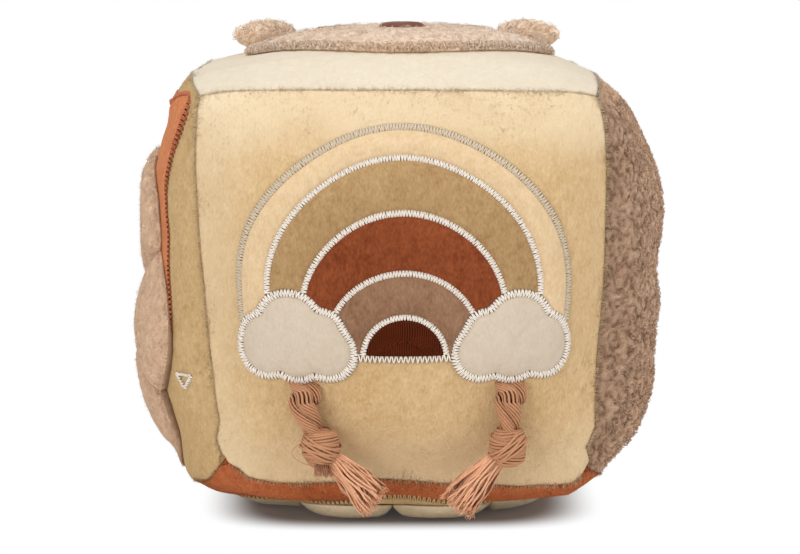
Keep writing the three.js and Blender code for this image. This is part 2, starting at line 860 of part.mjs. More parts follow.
// Ears: stuffed half rounds that stand just outside the face's edge and fold about their foot
function addEars() {
  const place = THREE.MathUtils.degToRad(earAngle);
  for (const [name, sign] of [['left', -1], ['right', 1]]) {
    const turn = THREE.MathUtils.degToRad(earTurn) * -sign;
    const lean = THREE.MathUtils.degToRad(earLean);
    const aside = faceWidth / 2 * earPlaceShare * Math.cos(place);
    const back = faceDepth / 2 * earPlaceShare * Math.sin(place);
    const foot = overPanel(sides.top, sign * aside, back, earLift);
    const half = earWidth / 2;
    const hinge = earThickness / 2;
    const outline = (angle) => {
      const across = Math.cos(angle) * half;
      const up = Math.sin(angle) > 0
        ? Math.sin(angle) * (earHeight - hinge)
        : Math.sin(angle) * hinge;
      return [across, up];
    };
    const face = (angle, share, bulge) => {
      const [across, up] = outline(angle);
      const thick = bulge * earThickness / 2 * Math.sqrt(1 - share * share);
      return new THREE.Vector3(across * share, thick, up * share);
    };
    const body = lens(16, earShares, face);
    body.rotateX(-lean);
    body.rotateZ(turn);
    body.translate(foot.x, foot.y, foot.z + hinge);
    add(`ear_${name}`, body, 'earTerry');
  }
}

// Closed body of two bulged faces that meet at a shared rim
function lens(turnCount, shares, face) {
  const points = [];
  const faces = [];
  const rim = [];
  for (let k = 0; k < turnCount; k += 1) {
    rim.push(points.length);
    points.push(face(2 * Math.PI * k / turnCount, 1, 1));
  }
  for (const bulge of [1, -1]) {
    const middle = points.length;
    points.push(face(0, 0, bulge));
    for (const share of shares) {
      for (let k = 0; k < turnCount; k += 1) {
        points.push(face(2 * Math.PI * k / turnCount, share, bulge));
      }
    }
    const at = (ring, k) => {
      const step = k % turnCount;
      return ring === shares.length ? rim[step] : middle + 1 + ring * turnCount + step;
    };
    const put = (a, b, c) => faces.push(bulge > 0 ? [a, b, c] : [a, c, b]);
    for (let k = 0; k < turnCount; k += 1) {
      put(middle, at(0, k), at(0, k + 1));
      for (let ring = 0; ring < shares.length; ring += 1) {
        put(at(ring, k), at(ring + 1, k), at(ring + 1, k + 1));
        put(at(ring, k), at(ring + 1, k + 1), at(ring, k + 1));
      }
    }
  }
  return solid(points, faces);
}

// Petal outline as a reach from the petal's middle, kept in its own share of the flower
function petalReach(flower, angle) {
  const facing = Math.atan2(Math.sin(angle - flower.turn), Math.cos(angle - flower.turn));
  const inner = flower.centre + sideGap;
  const long = flower.radius - flower.middle;
  const wide = flower.middle * Math.tan(Math.PI / flower.count) * flower.fullness;
  const round = 1 / Math.hypot(Math.cos(facing) / long, Math.sin(facing) / wide);
  const half = Math.PI / flower.count;
  const past = Math.abs(facing) - half;
  const beside = flower.middle * Math.sin(half) - sideGap / 2;
  const edge = past > 0 ? beside / Math.sin(past) : Infinity;
  const across = flower.middle * Math.sin(facing);
  const hits = inner * inner - across * across;
  const toCentre = Math.cos(facing) < 0 && hits > 0
    ? -flower.middle * Math.cos(facing) - Math.sqrt(hits)
    : Infinity;
  return Math.min(round, edge, toCentre);
}

function addPetals(side, flower, prefix, look, finish) {
  for (let k = 0; k < flower.count; k += 1) {
    const turn = flower.start + 2 * Math.PI * k / flower.count;
    const middle = [
      flower.at[0] + flower.middle * Math.cos(turn),
      flower.at[1] + flower.middle * Math.sin(turn),
    ];
    const placed = { ...flower, turn };
    const reach = (angle) => petalReach(placed, angle);
    const pad = rounded(flower.pad, flower.rim);
    const body = drapedPad(side, middle, reach, flower.lay, pad, 16, petalShares, petalUnderShares);
    add(`${prefix}_${k + 1}`, finish(body), look);
  }
}

function addLeftPicture() {
  const left = sides.left;
  const sunReach = (angle) => sunWaves.reduce(
    (reach, wave, k) => reach + wave * Math.cos((k + 1) * (angle - Math.PI / 2)),
    sunRadius,
  );
  const at = [0, flowerHeight];
  const sunMiddle = [0, 0];
  const turnCount = 48;
  const flat = () => fabricThickness;
  const patch = drapedPad(left, sunMiddle, sunReach, layGap, flat, turnCount, sunShares, sunShares);
  add('sun_patch', patch, 'terracottaPlush');
  const places = outlinePlaces(sunMiddle, movedReach(sunReach, stitchSide), turnCount);
  const ridge = stitchRidge(left, places, true, stitchWidth, layGap, fabricThickness);
  add('sun_stitch', ridge, 'brownThread');
  const lay = 2 * layGap + fabricThickness + sideGap / 2;
  const flower = {
    at,
    count: flowerPetalCount,
    start: 0,
    radius: flowerRadius,
    middle: flowerRadius * flowerMiddleShare,
    fullness: flowerFullShare,
    centre: flowerCentreRadius,
    pad: flowerPad,
    rim: flowerRim,
    lay,
  };
  addPetals(left, flower, 'flower_petal', 'brownTerry', (body) => body);
  const round = () => flowerCentreRadius;
  const dome = rounded(flowerCentrePad, flowerRim);
  const centre = drapedPad(left, at, round, lay, dome, 18, petalShares, rimShares);
  add('flower_centre', centre, 'earTerry');
  const markCornerCount = 3;
  const mark = outlinePlaces([markAcross, markHeight], () => markWidth / 2, markCornerCount);
  const threads = stitchRidge(left, mark, true, markThread, layGap, markThread);
  add('stitched_triangle', threads, 'creamThread');
}

// The bar of thread runs straight across the bottom of the dimple
function addTuftBar() {
  const ends = [-tuftBarLength / 2, tuftBarLength / 2].map((step) => {
    return overPanel(sides.right, tuftAcross + step, tuftHeight, 0);
  });
  const { up } = sides.right;
  const out = ends[1].clone().sub(ends[0]).cross(up).normalize();
  const bar = swept(ends.length, false, (i) => {
    const at = (aside, rise) => ends[i].clone().addScaledVector(up, aside).addScaledVector(out, rise);
    return ridgeSection(at, stitchWidth, 2 * layGap, fabricThickness);
  });
  add('tuft_stitch', bar, 'brownThread');
}

// What reaches below the floor is cut flat there
function cutAtFloor(geometry) {
  const slice = new THREE.BoxGeometry(seamWidth * 2, seamDepth * 2, seamHeight);
  slice.translate(0, 0, seamHeight / 2);
  return fromManifold(toManifold(geometry).intersect(toManifold(slice)));
}

function addDaisy() {
  const bottom = sides.bottom;
  const turnCount = 32;
  const flat = () => fabricThickness;
  const round = () => daisyDiscRadius;
  const patch = drapedPad(bottom, [0, 0], round, layGap, flat, turnCount, discShares, discShares);
  add('daisy_disc', patch, 'khakiPlush');
  const places = outlinePlaces([0, 0], movedReach(round, stitchSide), turnCount);
  const ridge = stitchRidge(bottom, places, true, stitchWidth, layGap, fabricThickness);
  add('daisy_disc_stitch', ridge, 'brownThread');
  const flower = {
    at: [0, 0],
    count: daisyPetalCount,
    start: THREE.MathUtils.degToRad(90 - daisyTurn),
    radius: daisyRadius,
    middle: daisyRadius * daisyMiddleShare,
    fullness: daisyFullShare,
    centre: daisyCentreRadius,
    pad: daisyPad,
    rim: daisyRim,
    lay: daisyLay,
  };
  addPetals(bottom, flower, 'daisy_petal', 'creamPlush', cutAtFloor);
  const centreReach = () => daisyCentreRadius;
  const dome = rounded(daisyPad, daisyRim);
  const centre = drapedPad(bottom, [0, 0], centreReach, daisyLay, dome, 20, domeShares, thinShares);
  add('daisy_centre', cutAtFloor(centre), 'khakiPlush');
}

addPanels();
addFilling();
addRattle();
addRainbow();
addClouds();
addTassels();
addBearFace();
addEars();
addLeftPicture();
addTuftBar();
addDaisy();

export default block;
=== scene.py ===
import bpy
import numpy as np
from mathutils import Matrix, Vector


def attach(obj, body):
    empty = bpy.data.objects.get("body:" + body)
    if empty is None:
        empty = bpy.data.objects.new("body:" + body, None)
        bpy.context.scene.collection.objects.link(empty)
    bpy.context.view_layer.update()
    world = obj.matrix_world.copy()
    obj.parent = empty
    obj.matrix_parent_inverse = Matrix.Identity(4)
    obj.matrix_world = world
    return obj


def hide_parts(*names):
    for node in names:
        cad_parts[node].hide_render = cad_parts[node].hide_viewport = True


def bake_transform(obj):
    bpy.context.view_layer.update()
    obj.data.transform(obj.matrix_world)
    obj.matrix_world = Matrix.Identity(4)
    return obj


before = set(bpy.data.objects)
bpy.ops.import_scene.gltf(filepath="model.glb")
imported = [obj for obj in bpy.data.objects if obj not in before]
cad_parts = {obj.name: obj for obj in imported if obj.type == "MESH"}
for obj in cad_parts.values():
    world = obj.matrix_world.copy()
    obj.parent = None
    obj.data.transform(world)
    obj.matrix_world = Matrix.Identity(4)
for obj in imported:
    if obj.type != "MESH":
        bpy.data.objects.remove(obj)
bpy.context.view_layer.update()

# Stuffed fabric activity block: plush panels, sewn pictures, two yarn tassels and two bear ears.
# Metres, +Z up, the rainbow panel faces -Y.

mm = 0.001

# The block between its seams
HALF = np.array([54, 54, 53.5]) * mm
MIDDLE_HEIGHT = 67.95 * mm
UPPER_PULL = 2 * mm
LOWER_PULL = 4.5 * mm
CORNER_POWER = 8
SEAM_DIP = 2 * mm
SEAM_DIP_WIDTH = 4 * mm
SEAM_FILL = 1.8 * mm
SEAM_GAP = 0.12 * mm
CLOTH = 2.4 * mm
PILE_RAMP = 0.7 * mm
FLOOR_GAP = 0.02 * mm

# Sewn layers
LAY = 0.5 * mm
UNDER = LAY - 0.2 * mm
GAP = 0.35 * mm
FABRIC = 1.2 * mm
STITCH = 2.6 * mm

# Sewn dimple of the right side
TUFT = {"across": -8 * mm, "up": -9 * mm, "depth": 8.5 * mm, "reach": 14 * mm,
        "folds": 5, "fold": 0.35}
TUFT_BAR = 6 * mm

# Rainbow: radius and height of each arc, and the clouds
ARCS = np.array([[42, 1.5], [34.8, 1.5], [26.4, -3.7], [20.3, -12.8], [11.1, -15.2]]) * mm
BASE = ARCS[4, 1]
CLOUD = {"offset": 28.3 * mm, "height": -11.5 * mm, "width": 30 * mm}
CLOUD_LOBES = np.array([
    [0.267, -0.09, 0.233], [-0.267, -0.09, 0.233], [0.043, 0.167, 0.253],
    [-0.217, 0.093, 0.18], [0.273, 0.04, 0.18], [0, -0.12, 0.233],
])

# Tassels: sideways place and height of the hinge, the bend and the knot, and the fringe's lean
KNOT = 10.4 * mm
FRINGE = 15 * mm
TASSEL_DEPTH = -68.95 * mm
TASSELS = {
    "left": {"top": (-26.6, 41), "bend": (-23.9, 34.4), "knot": (-22.3, 28.4), "lean": 44},
    "right": {"top": (27.9, 41), "bend": (27.6, 34.6), "knot": (27.4, 28.4), "lean": -41},
}

# Bear face and ears
FACE = {"width": 86 * mm, "depth": 74 * mm, "pad": 3.6 * mm, "rim": 2 * mm}
NOSE = {"width": 13 * mm, "depth": 8 * mm, "back": -8 * mm}
EYES = {"spacing": 36 * mm, "back": 21 * mm, "radius": 4.6 * mm}
EAR = {"width": 18.5 * mm, "height": 7.4 * mm, "thick": 7.6 * mm, "foot": (38.5 * mm, 24 * mm),
       "turn": 38, "lean": 12, "lift": 0.7 * mm}

# Flower and patch of the left side, daisy under the block
FLOWER = {"at": (0, -11 * mm), "count": 6, "start": 0.0, "radius": 44 * mm, "middle": 0.62,
          "full": 1.3, "centre": 9 * mm, "pad": 5.2 * mm, "rim": 3.1 * mm, "lay": 1.6 * mm}
SUN = {"radius": 44.1 * mm, "waves": np.array([4.7, -3.5, -3.8, -3.8, -4.4]) * mm}
SUN_BELLS = [(5, 0.75, 0.11), (-4.5, 1.06, 0.14), (13, 0, 0.3), (-2, 1.6, 0.45)]
SUN_FRONT_TIP = (7, -0.77, 0.1)
MARK = {"across": 46.5 * mm, "up": -25 * mm, "width": 5 * mm}
DAISY = {"at": (0, 0), "count": 8, "start": np.radians(72), "radius": 45 * mm, "middle": 0.64,
         "full": 1.25, "centre": 12 * mm, "pad": 3.9 * mm, "rim": 2 * mm, "lay": 2.05 * mm}
DISC_RADIUS = 49 * mm


# The camera

def add_camera():
    """A long lens, nine degrees above level and one to the block's left."""
    aim = Vector((0, 0, 63.1 * mm))
    distance, azimuth, elevation = 0.95, np.radians(-1), np.radians(9)
    level = np.cos(elevation)
    back = Vector((np.sin(azimuth) * level, -np.cos(azimuth) * level, np.sin(elevation)))
    lens = bpy.data.cameras.new("camera")
    lens.sensor_width = 36
    lens.lens = 150.5
    camera = bpy.data.objects.new("camera", lens)
    camera.location = aim + distance * back
    camera.rotation_euler = (-back).to_track_quat("-Z", "Y").to_euler()
    bpy.context.scene.collection.objects.link(camera)
    bpy.context.scene.camera = camera


add_camera()


# Arrays and random patterns

CELL_MIX = np.array([374761393, 668265263, 2147483629])
SEED_MIX, BIT_MIX = 1013904223, 1274126177


def lattice(cell, seed):
    """A number from -1 to 1 for each whole-numbered cell: its three numbers are mixed and cut
    short."""
    mixed = (cell * CELL_MIX).sum(-1) + seed * SEED_MIX
    mixed = (mixed ^ (mixed >> 13)) * BIT_MIX
    mixed = mixed ^ (mixed >> 16)
    return (mixed & 0xFFFF) / 32767.5 - 1


def noise(places, size, seed=0):
    """Soft noise from -1 to 1: lattice numbers blended across each cell with smooth steps."""
    place = places / size
    cell = np.floor(place).astype(np.int64)
    step = place - cell
    step = step * step * (3 - 2 * step)
    total = 0
    for corner in np.ndindex(2, 2, 2):
        weight = np.prod(np.where(corner, step, 1 - step), axis=-1)
        total = total + weight * lattice(cell + corner, seed)
    return total


def lumps(places, size, seed=0):
    """Round lumps from 0 to 1: one less the distance to the nearest of points strewn one a cell."""
    place = places / size
    cell = np.floor(place).astype(np.int64)
    nearest = np.full(place.shape[:-1], 9.0)
    for step in np.ndindex(3, 3, 3):
        other = cell + step - np.array([1, 1, 1])
        spot = other + 0.5 + 0.42 * np.stack([lattice(other, seed + k) for k in range(3)], -1)
        nearest = np.minimum(nearest, np.linalg.norm(place - spot, axis=-1))
    return np.clip(1 - nearest, 0, 1)


def unit(vectors):
    return vectors / np.linalg.norm(vectors, axis=-1, keepdims=True)


def smooth(low, high, value):
    share = np.clip((value - low) / (high - low), 0, 1)
    return share * share * (3 - 2 * share)


def together(*parts):
    """Coordinates side by side, each spread to the shape of the others."""
    return np.stack(np.broadcast_arrays(*parts), -1)


def round_turn(count):
    return 2 * np.pi * np.arange(count) / count


def on_circle(angle):
    return together(np.cos(angle), np.sin(angle))


def run_length(line):
    """How far along a line each of its places lies."""
    return np.concatenate([[0], np.cumsum(np.linalg.norm(np.diff(line, axis=0), axis=1))])


def oval_reach(width, depth):
    """The outline of an oval, as its reach at an angle."""
    return lambda angle: 1 / np.hypot(np.cos(angle) / (width / 2), np.sin(angle) / (depth / 2))


def round_reach(radius):
    return lambda angle: radius + 0 * angle


# The block's sides

class Side:
    """One side: its directions, the crown of its stuffing and how square that crown is."""

    def __init__(self, out, across, up, crown, power, dimpled=False):
        self.out, self.across, self.up = (np.array(way, float) for way in (out, across, up))
        self.half_out, self.half_across, self.half_up = (
            abs(way) @ HALF for way in (self.out, self.across, self.up))
        self.crown, self.power, self.dimpled = crown, power, dimpled
        self.edge = 1 - SEAM_GAP / self.half_across

    def vector(self, out, across, up):
        """Lengths out of, across and up the side, as one vector each."""
        out, across, up = (np.asarray(part, float)[..., None] for part in (out, across, up))
        return out * self.out + across * self.across + up * self.up

    def seam_distance(self, u, v):
        return np.minimum((1 - abs(u)) * self.half_across, (1 - abs(v)) * self.half_up)


SIDES = {
    "front": Side([0, -1, 0], [1, 0, 0], [0, 0, 1], 14 * mm, 3),
    "back": Side([0, 1, 0], [-1, 0, 0], [0, 0, 1], 16 * mm, 3),
    "left": Side([-1, 0, 0], [0, -1, 0], [0, 0, 1], 16 * mm, 3.6),
    "right": Side([1, 0, 0], [0, 1, 0], [0, 0, 1], 20 * mm, 3.4, True),
    "top": Side([0, 0, 1], [1, 0, 0], [0, 1, 0], 9.5 * mm, 3),
    "bottom": Side([0, 0, -1], [1, 0, 0], [0, -1, 0], 9 * mm, 4),
}


def dimple(side, u, v):
    """Depth of the tuft: a bell-shaped hollow whose depth swings round it as folds, none at the
    seams."""
    if not side.dimpled:
        return 0 * u
    across = u * side.half_across - TUFT["across"]
    up = v * side.half_up - TUFT["up"]
    reach = np.hypot(across, up) / TUFT["reach"]
    fold = 1 + TUFT["fold"] * np.minimum(1, reach) * np.cos(TUFT["folds"] * np.arctan2(up, across))
    inside = (1 - abs(u) ** CORNER_POWER) * (1 - abs(v) ** CORNER_POWER)
    return TUFT["depth"] * fold * inside * np.exp(-0.5 * reach * reach)


def inward(side, u, v):
    """The way into the stuffing: straight back in the middle, at a slant both panels share at a
    seam."""
    lean_u, lean_v = (np.sign(w) * abs(w) ** CORNER_POWER for w in (u, v))
    return -unit(side.vector(1, lean_u, lean_v))


def seam_nearness(side, u, v):
    """A bell from one at any seam to none a few millimetres off."""
    near_u = np.exp(-((1 - abs(u)) * side.half_across / SEAM_DIP_WIDTH) ** 2)
    near_v = np.exp(-((1 - abs(v)) * side.half_up / SEAM_DIP_WIDTH) ** 2)
    return 1 - (1 - near_u) * (1 - near_v)


def panel_point(side, u, v, dip=SEAM_DIP):
    """A flat square with a crown of (1-|u|^p)(1-|v|^p), corners drawn in by |uv|^8, and seams by a
    dip."""
    crown = side.crown * (1 - abs(u) ** side.power) * (1 - abs(v) ** side.power)
    rise = side.half_out + crown - dimple(side, u, v)
    point = side.vector(rise, u * side.half_across, v * side.half_up)
    pull = np.where(point[..., 2] > 0, UPPER_PULL, LOWER_PULL) * abs(u * v) ** CORNER_POWER
    point = point - pull[..., None] * side.vector(1, np.sign(u), np.sign(v))
    dip = dip * seam_nearness(side, u, v)
    return point + dip[..., None] * inward(side, u, v) + [0, 0, MIDDLE_HEIGHT]


def pile_point(side, u, v):
    """The panel with its pile filling most of the seams' dip."""
    return panel_point(side, u, v, SEAM_DIP - SEAM_FILL)


def panel_normal(side, u, v):
    """Square to the panel: the cross product of its two slopes, turned outward."""
    step = 0.001
    normal = unit(np.cross(panel_point(side, u + step, v) - panel_point(side, u - step, v),
                           panel_point(side, u, v + step) - panel_point(side, u, v - step)))
    return normal * np.sign(normal @ side.out)[..., None]


def over_panel(side, across, up, height=0.0):
    """Points and normals at lengths across and up a side's middle, raised off the panel by a
    height."""
    across, up, height = np.broadcast_arrays(
        np.asarray(across, float), np.asarray(up, float), np.asarray(height, float))
    u, v = across / side.half_across, up / side.half_up
    normal = panel_normal(side, u, v)
    return panel_point(side, u, v) + height[..., None] * normal, normal


# Surfaces: points, triangles, and two numbers for each point's look: how high it stands in the
# pile, from 0 to 1, and how far along the curling of a terry's locks it lies

def look(height, swirl=0.0):
    return together(np.asarray(height, float), swirl)


def outward(points, faces):
    """The faces of a closed surface, turned over together if its volume comes out negative."""
    a, b, c = (points[faces[:, k]] - points.mean(0) for k in range(3))
    volume = np.einsum("ij,ij->i", a, np.cross(b, c)).sum()
    return faces if volume > 0 else faces[:, ::-1]


def grid_faces(rows, columns, around=False):
    """Two triangles for each cell of points in rows. Around joins the last column to the first."""
    i, j = np.meshgrid(np.arange(rows - 1), np.arange(columns - (not around)), indexing="ij")
    k = (j + 1) % columns
    a, b, c, d = i * columns + j, i * columns + k, (i + 1) * columns + k, (i + 1) * columns + j
    return np.concatenate([together(*t).reshape(-1, 3) for t in ((a, b, c), (a, c, d))])


def joined(*surfaces):
    """Several surfaces as one: their points in a row and their faces counted on."""
    points, faces, looks = zip(*surfaces)
    starts = np.cumsum([0] + [len(part) for part in points])
    faces = [part + start for part, start in zip(faces, starts)]
    return np.concatenate(points), np.concatenate(faces), np.concatenate(looks)


def rings_closed(rings, pile):
    """Rings of points from a middle point out, over a rim and back to another: strips and two
    fans."""
    first, last, body = rings[0].mean(0), rings[-1].mean(0), np.stack(rings)
    rows, columns = body.shape[:2]
    points = np.concatenate([body.reshape(-1, 3), [first, last]])
    k = np.arange(columns)
    step, size = (k + 1) % columns, rows * columns
    start = size - columns
    faces = np.concatenate([grid_faces(rows, columns, True), together(size, step, k),
                            together(size + 1, start + k, start + step)])
    looks = np.concatenate([np.stack(pile).reshape(-1, 2), [pile[0].mean(0), pile[-1].mean(0)]])
    return points, outward(points, faces), looks


def tubes(paths, radius, sides, upward, pile=0.8, shade=0.0):
    """Round tubes along many paths at once: rings square to each path, and a fan over either end.
    Shade is how much lower in the pile a thread's sides count than its top, so that its sides
    are painted darker: painted shade."""
    count, length = paths.shape[:2]
    along = unit(np.gradient(paths, axis=1))
    aside = unit(np.cross(along, np.broadcast_to(upward, paths.shape)))
    lift = np.cross(aside, along)
    turn = round_turn(sides)
    radius = np.broadcast_to(radius, (count, length))[..., None, None]
    ring = np.cos(turn)[:, None] * aside[:, :, None] + np.sin(turn)[:, None] * lift[:, :, None]
    points = paths[:, :, None] + radius * ring
    k = np.arange(1, sides - 1)
    end = (length - 1) * sides
    one = np.concatenate([grid_faces(length, sides, True)[:, ::-1], together(0, k, k + 1),
                          together(end, end + k + 1, end + k)])
    faces = (one + (np.arange(count) * length * sides)[:, None, None]).reshape(-1, 3)
    if not np.array_equal(outward(points[0].reshape(-1, 3), one), one):
        faces = faces[:, ::-1]
    heights = np.broadcast_to(np.asarray(pile, float), (count, length))[..., None]
    # Painted shade: the sides count lower in the pile than the top
    top = np.clip(np.sin(turn), 0, 1) ** 1.6
    return points.reshape(-1, 3), faces, look((heights * (1 - shade + shade * top)).ravel(), 0.25)


def curls(points, normals, size, thread, seed, steps=6):
    """Loose loops: each hair runs most of the way round a ring that stands out of the cloth at a
    slant."""
    rng = np.random.default_rng(seed)
    count = len(points)
    along = unit(np.cross(normals, unit(rng.normal(size=(count, 3)))))
    other = np.cross(normals, along)
    rise = unit(normals + rng.uniform(-0.9, 0.9, (count, 1)) * other)
    turn = np.pi * np.linspace(-0.25, 1.3, steps)
    radius = size * rng.uniform(0.65, 1.25, (count, 1, 1))
    path = (points[:, None] + radius * (np.cos(turn)[:, None] * along[:, None]
            + (0.15 + np.sin(turn))[:, None] * rise[:, None])
            + (size * rng.uniform(-0.5, 0.5, (count, 1, 1))) * turn[:, None] / np.pi * other[:, None])
    # Painted highlight and shade: each loop counts higher in the pile at its top than at its feet
    pile = 0.45 + 0.5 * np.clip(np.sin(turn), 0, 1) * rng.uniform(0.6, 1, (count, 1))
    return tubes(path, thread * rng.uniform(0.75, 1.2, (count, 1)), 3, other[:, None], pile)


def fibres(points, normals, nap, length, width, seed, slant=(14, 46)):
    """Straight hairs of a plush: four-faced spikes that lean along the nap, each with its own
    slant."""
    rng = np.random.default_rng(seed)
    count = len(points)
    lie = unit(nap + 0.4 * rng.normal(size=(count, 3)))
    lie = unit(lie - (lie * normals).sum(-1, keepdims=True) * normals)
    slant = np.radians(rng.uniform(*slant, (count, 1)))
    way = np.cos(slant) * lie + np.sin(slant) * normals
    aside = np.cross(normals, lie)
    tip = points + length * rng.uniform(0.5, 1.15, (count, 1)) * way
    half = width / 2 * rng.uniform(0.7, 1.2, (count, 1))
    base = points - 0.15 * mm * normals
    spikes = np.stack([base - half * aside, base + half * aside, base - half * normals, tip], 1)
    one = np.array([[0, 1, 3], [1, 2, 3], [2, 0, 3], [1, 0, 2]])
    faces = (one + 4 * np.arange(count)[:, None, None]).reshape(-1, 3)
    if not np.array_equal(outward(spikes[0], one), one):
        faces = faces[:, ::-1]
    # Painted light: each hair counts high in the pile and its tip higher, to lift the shade between
    # hairs and in the seams
    pile = np.tile([0.9, 0.9, 0.9, 1.2], count) * np.repeat(rng.uniform(0.8, 1.2, count), 4)
    return spikes.reshape(-1, 3), faces, look(pile)


# How the block has settled, as places and lengths in millimetres: how far either side's stuffing
# stands in at a height and its front seam stands right of the plain form there, how far the left
# top seam bows and the top tips up at a depth, how far the seam under the front stands up and the
# cloth below it hangs down at a place across, and how much of the low left sag shows at a depth
SET = {
    "left": [(20, 1.6), (42, 1.0), (56, 1.9), (66, 3.4), (80, 4.0), (90, 3.2), (97, 1.6),
             (112, 1.6), (119, 0)],
    "right": [(20, -1.0), (45, -0.9), (56, -0.6), (64, -1.1), (70, -0.6), (80, 0), (90, 0.5), (97, 1.2),
              (104, 2.0), (119, 2.2)],
    "left_seam": [(16, 0), (24, 0.4), (31, 2.2), (69, 2.3), (77, 1.9), (102, 1.1), (119, 1.0)],
    "right_seam": [(16, -1), (20, -2.2), (24, -4.4), (30, -2.2), (119, -1.8)],
    "bow": [(-54, 0), (-20, 3.0), (10, 2.6), (54, 0.5)],
    "tip": [(-54, 0.6), (-38, 1.9), (-24, 1.1), (0, -0.5), (30, -1.5), (54, -0.8)],
    "hem": [(-54, 5.0), (-46, 5.2), (-43, 3.8), (-35, 2.9), (-28, 2.8), (-19, 3.1), (-7, 4.0), (1, 3.5),
            (10, 2.6), (23, 2.0), (31, 1.3), (36, 1.5), (47, 0.8), (54, 0.8)],
    "bulge": [(-54, 1), (-44, 3.6), (-30, 4.2), (12, 4.0), (30, 3.4), (44, 3.2), (54, 0)],
    "sag": [(-54, 0.1), (-45, 0.3), (-32, 1), (30, 1), (54, 0.5)],
}


def drawn(name, at):
    """A table's length at each place, straight from row to row."""
    return np.interp(at, *zip(*SET[name]))


def settled(points):
    """The set of a block stuffed by hand: seams lean, bow and waver, the top tips back, the base
    sags."""
    x, y, z = points.T / mm
    moved = points / mm
    near = smooth(15, 50, abs(x)) * (1 - smooth(57, 72, abs(x)))
    low = np.clip((118 - z) / 91, 0, 1) ** 2.2
    lean = np.where(x < 0, -2.8 + 5.0 * low, 2.2 * np.exp(-((z - 90) / 34) ** 4))
    edge = smooth(38, 52, abs(x)) * (1 - smooth(54, 64, abs(x)))
    seam = np.where(x < 0, drawn("left_seam", z), drawn("right_seam", z))
    moved[:, 0] += (1 - smooth(-50, 0, y)) * (near * lean + edge * seam)
    moved[:, 0] += drawn("left", z) * smooth(56, 72, -x) - drawn("right", z) * smooth(56, 72, x)

    upper = smooth(108, 121, z)
    bow = drawn("bow", y) * upper * smooth(38, 54, -x)
    moved[:, 0] -= bow + 3.2 * smooth(-10, 54, y) * upper * smooth(38, 54, x)
    moved[:, 2] += 0.35 * bow + drawn("tip", y) * smooth(100, 121, z)

    hem = (1 - smooth(-53, -42, y)) * (1 - smooth(16, 42, z))
    bulge = np.exp(-((y + 50) / 5) ** 2) * (1 - smooth(14, 22, z))
    foot = 1 - smooth(15, 36, z)
    sag = drawn("sag", y) * smooth(28, 50, -x) * (1 - smooth(55, 66, -x)) * foot
    moved[:, 0] += 1.4 * smooth(28, 50, x) * foot - 5 * sag
    moved[:, 2] += drawn("hem", x) * hem - drawn("bulge", x) * bulge - 3 * sag

    waver = 0.7 * together(*(noise(points, 36 * mm, seed) for seed in (101, 102, 103)))
    moved = mm * (moved + waver * together(1, smooth(-50, -20, y), smooth(2, 30, z)))
    return above_floor(moved)


def above_floor(points):
    """What would reach below the floor is pressed flat on it."""
    points = points.copy()
    points[:, 2] = np.maximum(points[:, 2], FLOOR_GAP)
    return points


# Pieces from surfaces

def piece(name, surface, finish, node=None, slot=None, body="block"):
    """A mesh object from a surface, with its finish, the node it stands for, its slot (not used)
    and the body it rides on."""
    points, faces, looks = surface
    if body == "block":
        points = settled(points)
    mesh = bpy.data.meshes.new(name)
    mesh.vertices.add(len(points))
    mesh.vertices.foreach_set("co", np.ascontiguousarray(points, np.float32).ravel())
    mesh.loops.add(faces.size)
    mesh.loops.foreach_set("vertex_index", np.ascontiguousarray(faces, np.int32).ravel())
    mesh.polygons.add(len(faces))
    mesh.polygons.foreach_set("loop_start", np.arange(0, faces.size, 3, dtype=np.int32))
    mesh.update(calc_edges=True)
    mesh.shade_smooth()
    for column, number in enumerate(("pile", "swirl")):
        kept = mesh.attributes.new(number, "FLOAT", "POINT")
        kept.data.foreach_set("value", np.ascontiguousarray(looks[:, column], np.float32))
    made = bpy.data.objects.new(name, mesh)
    mesh.materials.append(FINISH[finish])
    bpy.context.scene.collection.objects.link(made)
    if body:
        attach(made, body)
    slot or finish
    if node:
        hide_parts(node)
    return made


# Finishes

class Wire:
    """A number out of a node. Sums, products and powers of it add Math nodes."""

    def __init__(self, finish, socket):
        self.finish, self.socket = finish, socket

    def maths(self, operation, first, second):
        node = self.finish.node("Math", {"operation": operation}, {"Value": first, "Value_001": second})
        return Wire(self.finish, node.outputs[0])

    def __add__(self, other):
        return self.maths("ADD", self, other)

    def __sub__(self, other):
        return self.maths("SUBTRACT", self, other)

    def __rsub__(self, other):
        return self.maths("SUBTRACT", other, self)

    def __mul__(self, other):
        return self.maths("MULTIPLY", self, other)

    def __pow__(self, other):
        return self.maths("POWER", self, other)

    __radd__, __rmul__ = __add__, __mul__


# Materials whose name says more than their finish's key
MATERIAL_NAME = {
    "khaki_band": "khaki band plush", "terracotta_band": "terracotta band plush",
    "petal_terry": "petal velour", "outer_thread": "outer arc thread",
    "patch_thread": "patch edge thread", "disc_thread": "disc edge thread",
    "dark_thread": "dark embroidery thread", "rattle_shell": "rattle plastic",
    "rattle_ball": "ball plastic",
}


